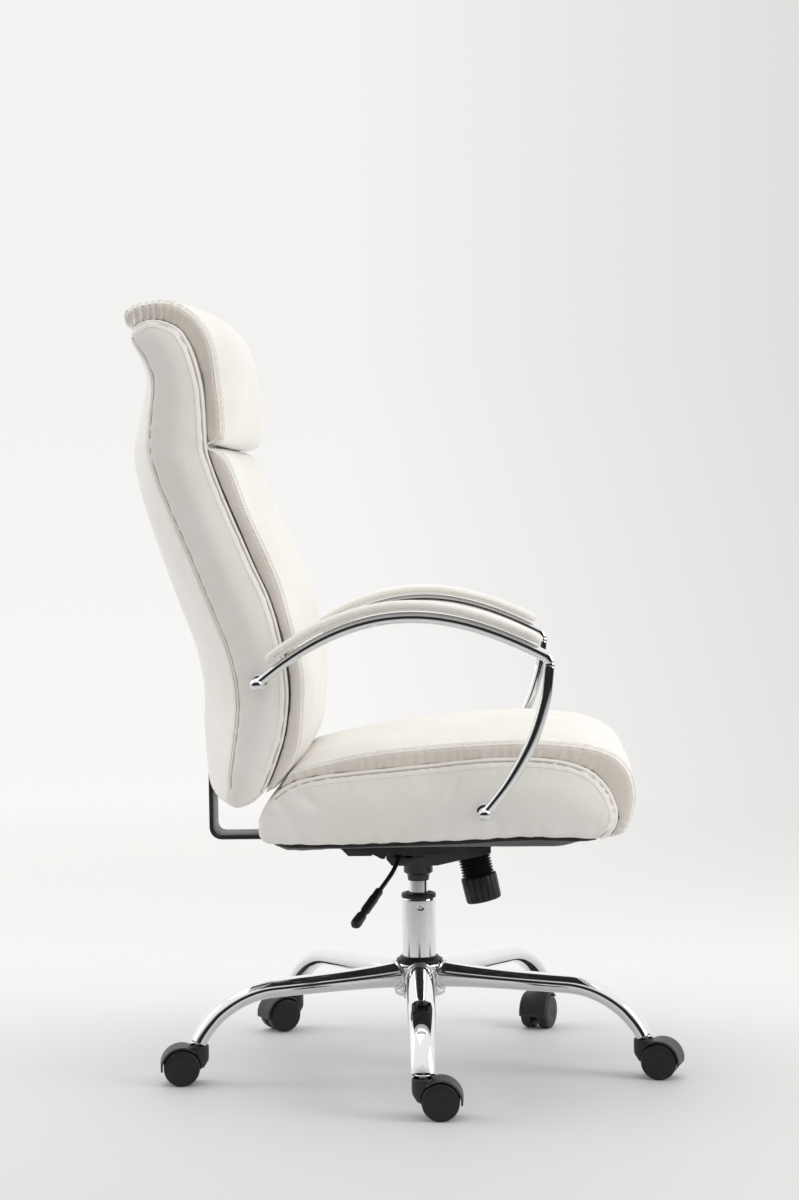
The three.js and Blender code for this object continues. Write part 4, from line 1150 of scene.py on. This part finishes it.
def column():
    low, high = heights("base_hub")
    low += HUB_SHORTER
    inner = TUBE_RADIUS + 0.3
    hub = [(inner, low), (HUB_RADIUS - 2, low), (HUB_RADIUS, low + 2), (HUB_RADIUS, low + 8),
           (HUB_RADIUS - 0.8, low + 10), (HUB_RADIUS - 0.8, high - 9), (HUB_RADIUS, high - 7),
           (HUB_RADIUS, high - 2), (HUB_RADIUS - 2, high), (inner, high)]
    ring_piece("hub_ring", hub, CHROME, "base", "base_hub")

    low, high = heights("hub_collar")
    collar = [(inner, low), (33.5, low), (34.4, low + 1), (34.0, low + 3.2), (31, low + 4.6), (28.6, high - 1),
              (27.6, high), (inner, high)]
    ring_piece("collar_ring", collar, BLACK, "base", "hub_collar")

    low, high = heights("lift_outer_tube")
    high += TUBE_LONGER
    rows = [(TUBE_RADIUS - 0.7, low), (TUBE_RADIUS, low + 60), (TUBE_RADIUS, high - 32)]
    rows += [(TUBE_RADIUS, high - 32 + k) for k in range(1, 31)] + [(TUBE_RADIUS - 0.8, high)]
    rows += [(TUBE_RADIUS - 2.5, high), (TUBE_RADIUS - 2.5, low)]
    points, faces = hollow_turned(rows, 160)
    dents = [(math.radians(angle), high - 12, reach) for angle, reach in ((162, 2.3), (188, 3.2))]
    for k, p in enumerate(points):
        angle = math.atan2(p.y, p.x)
        for at, height, reach in dents:
            apart = math.remainder(angle - at, 2 * math.pi) * TUBE_RADIUS
            pressed = math.exp(-((apart / reach) ** 4) - (((p.z / MM - height) / (0.7 * reach)) ** 4))
            if p.to_2d().length > (TUBE_RADIUS - 1) * MM:
                points[k] = Vector((p.x * (1 - 0.13 * pressed), p.y * (1 - 0.13 * pressed), p.z))
    mesh_piece("lift_tube", placed((points, faces), Matrix.Translation((AXIS.x, AXIS.y, 0))), LIFT_CHROME, "base",
               ["lift_outer_tube"], angle=50)

    low, high = heights("lift_top_bush")
    rod = size("gas_cylinder").x / 2 / MM
    bush = [(rod + 0.5, low), (TUBE_RADIUS - 2.8, low), (TUBE_RADIUS - 2.8, high - 7),
            (TUBE_RADIUS + 0.1, high - 7),
            (TUBE_RADIUS + 0.6, high - 6.2), (TUBE_RADIUS + 0.6, high - 2.4), (TUBE_RADIUS - 0.4, high - 0.6),
            (TUBE_RADIUS - 2, high), (TUBE_RADIUS - 5, high - 0.3), (TUBE_RADIUS - 7, high - 2.4),
            (rod + 2.6, high - 2.4), (rod + 1.6, high - 0.8), (rod + 0.5, high - 0.8)]
    ring_piece("bush_ring", bush, BLACK, "base", "lift_top_bush", angle=40)

    low, high = heights("gas_cylinder")
    cylinder = [(5.8, low), (rod - 1, low), (rod, low + 1), (rod, high - 30), (rod - 0.8, high - 0.6),
                (rod - 1.4, high), (4.9, high), (4.9, high - 15), (4.8, high - 15.1), (5.8, low + 6)]
    ring_piece("lift_cylinder", cylinder, LIFT_CHROME, "lift", "gas_cylinder", angle=40)


legs()
column()

# ------------------------------------------------------------------ casters
AXLE = middle("caster_1_wheel_a").z / MM
TRAIL = ((middle("caster_1_wheel_a") + middle("caster_1_wheel_b")) / 2 - STEMS[0]).to_2d().length / MM
WHEEL_HALF = (middle("caster_1_wheel_a") - middle("caster_1_wheel_b")).length / 2 / MM
HOOD_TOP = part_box("caster_1_hood")[1].z / MM
WHEEL_WIDTH, COVER_THICK, COVER_GAP = 17.0, 2.6, 1.5


def hood_mesh():
    """Cover, drum and web of one caster, fused into one moulding. The stem is on Z, the wheels towards +X."""
    inner, outer = AXLE + COVER_GAP, AXLE + COVER_GAP + COVER_THICK + 0.4
    half = WHEEL_HALF + WHEEL_WIDTH / 2 - 0.6
    strip = rounded([(inner, 0), (inner, half), (outer - 1.2, half), (outer, half - 1.6), (outer, -half + 1.6),
                     (outer - 1.2, -half), (inner, -half), (inner, 0)], 0.8)[:-1]
    cover = []
    for a in np.radians(np.linspace(-9, 132, 48)):
        cover.append([((TRAIL + r * math.cos(a)) * MM, y * MM, (AXLE + r * math.sin(a)) * MM) for r, y in strip])
    # The web reaches out behind and above the axle, and only to the axle in front.
    outline = [(26.5, a) for a in np.radians(np.linspace(80, 235, 32))]
    outline += [(8.0, a) for a in np.radians(np.linspace(265, 410, 16))]
    web = [[((TRAIL + r * math.cos(a)) * MM, y * MM, (AXLE + r * math.sin(a)) * MM) for r, a in outline]
           for y in np.linspace(-4, 4, 6)]
    drum = turned(rounded([(0, AXLE - 5), (8, AXLE - 4), (15.2, AXLE + 8), (15.6, AXLE + 14),
                           (15.6, HOOD_TOP - 1.6), (14.2, HOOD_TOP - 0.3), (11.4, HOOD_TOP - 0.3),
                           (11.0, HOOD_TOP - 4.4), (7.2, HOOD_TOP - 4.4), (6.8, HOOD_TOP - 1), (0, HOOD_TOP - 1)],
                          3.2, 5))
    mesh = with_modifier(mesh_of("caster_hood", *merged([lofted(cover), lofted(web), drum])), "REMESH",
                         mode="VOXEL", voxel_size=0.75 * MM, use_smooth_shade=True)
    # Room for the two wheels beside the web.
    co = coordinates(mesh)
    away = np.hypot(co[:, 0] - TRAIL * MM, co[:, 2] - AXLE * MM)
    beside = (np.abs(co[:, 1]) > 4.3 * MM) & (away < inner * MM)
    push = np.where(beside, inner * MM / np.maximum(away, 1e-6), 1)
    co[:, 0] = TRAIL * MM + (co[:, 0] - TRAIL * MM) * push
    co[:, 2] = AXLE * MM + (co[:, 2] - AXLE * MM) * push
    set_coordinates(mesh, co)
    return with_modifier(mesh, "SMOOTH", factor=0.5, iterations=3)


def wheel_mesh():
    """A twin wheel's half about +Z, its outer face on top: tread, bevel, a ring groove and a hub cap."""
    half, r = WHEEL_WIDTH / 2, AXLE
    profile = [(0, -half), (r - 3, -half), (r - 1, -half + 0.6), (r, -half + 2), (r, half - 3), (r - 0.5, half - 1.4),
               (r - 1.8, half - 0.3), (r - 3.4, half), (r - 3.9, half - 0.35), (r - 4.4, half), (r - 9, half + 0.25),
               (6.6, half + 0.3), (6.2, half - 0.1), (5.8, half + 0.2), (3, half + 0.5), (0, half + 0.55)]
    return mesh_of("caster_wheel", *turned(rounded(profile, 0.5, 2), 96))


def casters():
    hood, wheel = hood_mesh(), wheel_mesh()
    for i, stem in enumerate(STEMS, 1):
        wheels = {label: middle(f"caster_{i}_wheel_{label}") for label in "ab"}
        towards = (wheels["a"] + wheels["b"]) / 2 - stem
        turn = Matrix.Rotation(math.atan2(towards.y, towards.x), 4, "Z")
        place = Matrix.Translation((stem.x, stem.y, 0)) @ turn
        cover = mesh_piece(f"hood_{i}", hood, HOOD, None, angle=None)
        cover.matrix_world = place
        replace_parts(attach(cover, f"caster_{i}"), f"caster_{i}_hood")
        for label, centre in wheels.items():
            outward = centre - (wheels["a"] + wheels["b"]) / 2
            node = f"caster_{i}_wheel_{label}"
            disc = mesh_piece(f"wheel_{i}_{label}", wheel, WHEEL, None, angle=40)
            disc.matrix_world = along_z(centre, outward, "X")
            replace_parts(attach(disc, node), node)


casters()

# ------------------------------------------------------------------ tension knob and bellows
KNOB_JOINT = JOINTS["tension_turn"]
KNOB_FRAME = along_z(KNOB_JOINT["pos_m"], KNOB_JOINT["axis"])
BELLOWS_TOP, RIBS, RIB_PITCH, BELLOWS_RADIUS, RIB_DEPTH = -2.0, 7, 4.3, 24.0, 4.4
KNOB_RADIUS, KNOB_HEIGHT, FLUTES = 26.5, 39.0, 18


def bellows():
    low = BELLOWS_TOP - RIBS * RIB_PITCH
    outer = []
    for k in range(RIBS * 8 + 1):
        phase = k / 8
        crest = (0.5 - 0.5 * math.cos(2 * math.pi * phase)) ** 0.8
        outer.append((BELLOWS_RADIUS - RIB_DEPTH + RIB_DEPTH * crest, low + phase * RIB_PITCH))
    inner = [(5.2, BELLOWS_TOP), (5.2, BELLOWS_TOP - 1.6), (BELLOWS_RADIUS - 6, BELLOWS_TOP - 1.6),
             (BELLOWS_RADIUS - 6, low)]
    mesh_piece("bellows_sleeve", placed(hollow_turned(outer + inner, 96), KNOB_FRAME), BLACK, "lift",
               ["tension_bellows"], angle=60)


def knob():
    top = BELLOWS_TOP - RIBS * RIB_PITCH - 1
    levels = [(0.02, top), (0.80, top), (0.94, top - 0.4), (0.985, top - 1.2), (1, top - 2.4), (1, top - 16),
              (0.985, top - KNOB_HEIGHT + 4), (0.965, top - KNOB_HEIGHT + 1.6), (0.92, top - KNOB_HEIGHT + 0.4),
              (0.84, top - KNOB_HEIGHT), (0.62, top - KNOB_HEIGHT + 0.5), (0.58, top - KNOB_HEIGHT + 1.6),
              (0.3, top - KNOB_HEIGHT + 1.9), (0.02, top - KNOB_HEIGHT + 1.9)]
    rings = []
    for share, height in levels:
        deep = 1.5 * min(max((share - 0.9) / 0.08, 0), 1)
        ring = []
        for k in range(FLUTES * 12):
            a = 2 * math.pi * k / (FLUTES * 12)
            flute = max(0.0, math.cos(FLUTES * a)) ** 6
            r = share * KNOB_RADIUS - deep * flute
            ring.append((r * MM * math.cos(a), r * MM * math.sin(a), height * MM))
        rings.append(ring)
    mesh_piece("knob_grip", placed(lofted(rings[::-1]), KNOB_FRAME), BLACK, "tension_knob", ["tension_knob"],
               angle=45)


bellows()
knob()

# ------------------------------------------------------------------ lever
LEVER_HEIGHT = middle("lever_bush").z
LEVER_ROUTE = [(4, -14, 0), (-20, 50, 0), (-24, 64, -1), (-29, 80, -12), (-36, 98, -24), (-54, 130, -46)]


def lever():
    """A bent rod out of the housing's right wall, with a slim plastic grip on its end."""
    route = curve_through([(-right, -forward, up) for forward, right, up in LEVER_ROUTE], 48) * MM
    route = [Vector((AXIS.x + x, AXIS.y + y, LEVER_HEIGHT + z)) for x, y, z in route]
    bar = swept(route, lambda t: ellipse(3.3 * MM, 3.3 * MM, 24), (0, 1, 0))
    mesh_piece("lever_bar", bar, BLACK_STEEL, "lever", ["lever_rod"], angle=50)
    along = (route[-1] - route[-3]).normalized()
    stations = [(-6, 3.9, 3.9), (-5.4, 5.2, 5.2), (-4, 5.6, 5.6), (10, 5.6, 5.6), (12, 6.4, 6.0), (40, 6.6, 5.0),
                (43, 5.4, 4.2), (47, 5.3, 4.2), (50, 7.0, 5.6), (66, 7.6, 6.4), (71, 7.0, 5.8), (73.4, 5.0, 4.0)]
    steps = [s for s, _, _ in stations]
    lengths = np.unique(np.concatenate([steps, np.linspace(steps[0], steps[-1], 60)]))
    path = [route[-1] + along * (s * MM) for s in lengths]

    def section(t):
        s = lengths[min(int(round(t * (len(lengths) - 1))), len(lengths) - 1)]
        width, height = (np.interp(s, steps, [row[k] for row in stations]) for k in (1, 2))
        return ellipse(width * MM, height * MM, 28, 2.8)

    mesh_piece("lever_handle", swept(path, section, (0, 1, 0)), BLACK, "lever", ["lever_grip"], angle=50)


lever()

# ------------------------------------------------------------------ folded sides of the tilt plate
FLANGE_DEPTHS = [(-112, 6), (-106, 14), (-84, 17), (-62, 21), (-50, 27), (-44, 26), (-40, 20), (-15, 22), (19, 23),
                 (45, 21), (62, 15), (84, 11), (90, 3)]  # (forward, depth below the plate) in mm


def plate_flanges(thick=2.5, fold=3.0):
    """The plate's long edges are folded down, deepest beside the pivot."""
    low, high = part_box("tilt_plate")
    top = high.z / MM - 1.5
    line = curve_through(FLANGE_DEPTHS, 60)
    parts = []
    for sign in (-1, 1):
        outer = sign * ((high.x - low.x) / 2 / MM - 0.6)
        rings = []
        for forward, depth in line:
            rows = [(outer, top), (outer, top - depth + 0.8), (outer - sign * 0.8, top - depth),
                    (outer - sign * (thick - 0.8), top - depth), (outer - sign * thick, top - depth + 0.8),
                    (outer - sign * thick, top - min(fold, depth / 2)), (outer - sign * (thick + 1.2), top)]
            rings.append([(AXIS.x + x * MM, AXIS.y - forward * MM, z * MM) for x, z in rows])
        parts.append(lofted(rings) if sign < 0 else inside_out(lofted(rings)))
    mesh_piece("plate_side_flanges", merged(parts), BLACK_STEEL, "seat", angle=35)


plate_flanges()

# ------------------------------------------------------------------ fasteners and the carried-over CAD nodes


def hex_bolt(place, down, radius=5.2, height=4.0):
    """A flanged hexagon head seen from outside, its axis along `down`."""
    wide, dished = radius * 1.32, height - 0.5
    flange = turned(rounded([(0, 0), (wide, 0), (wide, 0.9), (radius, 1.4), (0, 1.4)], 0.4, 2), 40)
    head = []
    for scale, z in ((1, 1.2), (1, height - 0.8), (0.90, height), (0.45, height),
                     (0.40, dished), (0.05, dished)):
        head.append([(radius * scale * MM * math.cos(a), radius * scale * MM * math.sin(a), z * MM)
                     for a in np.radians(np.arange(0, 360, 60))])
    return placed(merged([flange, lofted(head)]), along_z(place, down))


plate_low, plate_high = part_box("tilt_plate")
plate_under = plate_high.z - 3.5 * MM
bolts = [hex_bolt(Vector((AXIS.x + sx * 0.078, y, plate_under)), (0, 0, -1))
         for sx in (-1, 1) for y in (plate_low.y + 0.022, plate_high.y - 0.022)]
bracket_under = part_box("back_bracket")[0].z
bolts += [hex_bolt(Vector((AXIS.x + dx, plate_high.y + dy, bracket_under)), (0, 0, -1), 6.2, 5.0)
          for dx, dy in ((-0.020, 0.030), (0.020, 0.030), (0, 0.062))]
mesh_piece("plate_bolts", merged(bolts), STEEL, "seat", angle=30)


def dress(node, material, bevel, angle=35):
    """Gives a CAD node its material and softly broken edges."""
    thing = frame["nodes"][node]
    thing.data.materials.clear()
    thing.data.materials.append(material)
    thing.data.polygons.foreach_set("use_smooth", [True] * len(thing.data.polygons))
    weld = thing.modifiers.new("weld", "WELD")
    weld.merge_threshold = 1e-5
    if bevel:
        edges = thing.modifiers.new("bevel", "BEVEL")
        edges.width, edges.segments, edges.limit_method = bevel * MM, 3, "ANGLE"
        edges.angle_limit = math.radians(angle)
        edges.harden_normals = True
        edges.use_clamp_overlap = True


dress("mechanism_housing", BLACK_STEEL, 1.0, 28)
for node, bevel in (("tilt_plate", 0.8), ("back_bracket", 1.1), ("tilt_pivot_pin", 0.8),
                    ("retaining_clip", 0.3)):
    dress(node, BLACK_STEEL, bevel)
for node, bevel in (("piston_rod", 0.4), ("tension_bolt", 0.5), ("tension_spring", 0)):
    dress(node, STEEL, bevel)
for node in ("release_button", "lever_bush"):
    dress(node, BLACK, 0.5)
for i in range(1, 6):
    dress(f"caster_{i}_stem", STEEL, 0.5)
    dress(f"caster_{i}_axle", STEEL, 0.4)

# ------------------------------------------------------------------ camera, floor and light
CAMERA_FROM_AXIS = Vector((-3.8394, -0.1290, 0.8516))
CAMERA_HEADING = math.radians(2.25)  # of the view's direction, from +X towards +Y
CAMERA_PITCH, CAMERA_ROLL = -0.0422, -0.0149
LENS = 78.31

camera = in_scene("camera", bpy.data.cameras.new("camera"))
bpy.context.scene.camera = camera
camera.data.lens = LENS
camera.location = Vector((AXIS.x, AXIS.y, 0)) + CAMERA_FROM_AXIS
looking = Vector((math.cos(CAMERA_HEADING) * math.cos(CAMERA_PITCH),
                  math.sin(CAMERA_HEADING) * math.cos(CAMERA_PITCH), math.sin(CAMERA_PITCH)))
camera.rotation_mode = "QUATERNION"
camera.rotation_quaternion = looking.to_track_quat("-Z", "Y") @ Quaternion((0, 0, 1), CAMERA_ROLL)

FLOOR_RADIUS, FLOOR_SIDES = 14.0, 96
FADE_START, FADE_END = 0.9, 3.4  # where the floor begins and ends to melt into the background


def floor():
    points, faces = turned([(0, 0), (FLOOR_RADIUS / MM, 0)], FLOOR_SIDES)
    mesh = mesh_of("floor", points, faces[:FLOOR_SIDES])  # without the two caps
    n = Nodes("floor", Roughness=0.6, Specular_IOR_Level=0.2)
    # Painted shade: the floor's grey darkens towards the camera's side and towards -Y, standing in for the light
    # falling off there.
    across = n.maths("ShaderNodeVectorMath", "DOT_PRODUCT", n.coordinates, (1, 0.4, 0)).outputs["Value"]
    away = n.maths("ShaderNodeVectorMath", "LENGTH", n.coordinates).outputs["Value"]
    painted_floor_shade = n.tint(n.between(across, -0.8, 0.7, 0, 1), [(0, (0.66, 0.66, 0.66)), (1, (0.80, 0.80, 0.797))])
    n.link(painted_floor_shade, n.shader.inputs["Base Color"])
    n.link(n.between(away, FADE_START, FADE_END, 1, 0), n.shader.inputs["Alpha"])
    mesh.materials.append(n.material)
    in_scene("floor", mesh)


def soft_light(name, location, target, width, height, power):
    data = bpy.data.lights.new(name, "AREA")
    data.shape, data.size, data.size_y, data.energy = "RECTANGLE", width, height, power
    thing = in_scene(name, data)
    thing.location = location
    thing.rotation_mode = "QUATERNION"
    thing.rotation_quaternion = (Vector(target) - Vector(location)).to_track_quat("-Z", "Y")


def studio():
    """A white room: bright above and behind the chair, dim low down on the camera's side."""
    world = bpy.data.worlds.new("studio")
    bpy.context.scene.world = world
    world.use_nodes = True
    n = Tree(world.node_tree)
    parts = n.add("ShaderNodeSeparateXYZ")
    n.link(n.add("ShaderNodeTexCoord").outputs["Generated"], parts.inputs[0])
    tilt = n.maths("ShaderNodeMath", "MULTIPLY_ADD", parts.outputs["X"], 0.75, parts.outputs["Z"])
    height = n.between(tilt.outputs[0], -1.25, 1.25, 0, 1)
    ray = n.add("ShaderNodeLightPath").outputs

    def warm_grey(value, stops):
        return n.tint(value, [(position, (level, level * 0.993, level * 0.978)) for position, level in stops])

    # Soft fill from all round for the cushions; polished metal sees the unlit half of the room as dark.
    fill = warm_grey(height, [(0.0, 0.54), (0.34, 0.54), (0.52, 0.62), (0.66, 0.88), (1.0, 1.0)])
    mirrored = warm_grey(height, [(0.0, 0.03), (0.36, 0.02), (0.46, 0.06), (0.59, 1.0), (1.0, 1.1)])
    room = n.add("ShaderNodeMix")
    room.data_type = "RGBA"
    for source, socket in ((ray["Is Glossy Ray"], "Factor"), (fill, "A"), (mirrored, "B")):
        n.link(source, room.inputs[socket])
    lit, seen = n.tree.nodes["Background"], n.add("ShaderNodeBackground")
    n.link(room.outputs["Result"], lit.inputs["Color"])
    wide = n.between(parts.outputs["Y"], -0.5, 0.5, 0, 1)
    n.link(warm_grey(wide, [(0.37, 0.73), (0.56, 0.90)]), seen.inputs["Color"])
    n.link(n.between(parts.outputs["Z"], 0.05, -0.14, 1.0, 1.06), seen.inputs["Strength"])
    mix = n.add("ShaderNodeMixShader")
    for source, socket in zip((ray["Is Camera Ray"], lit.outputs[0], seen.outputs[0]), mix.inputs):
        n.link(source, socket)
    n.link(mix.outputs[0], n.tree.nodes["World Output"].inputs["Surface"])


floor()
studio()
soft_light("overhead", (0.5, 0.3, 3.0), (0, 0, 0.4), 2.6, 2.6, 12)
soft_light("front_side", (-0.9, -2.7, 1.7), (0, 0, 0.6), 1.2, 1.8, 32)
soft_light("rear_side", (0.4, 2.8, 1.8), (0, 0, 0.6), 1.2, 1.8, 16)
bpy.context.scene.view_settings.view_transform = "Standard"
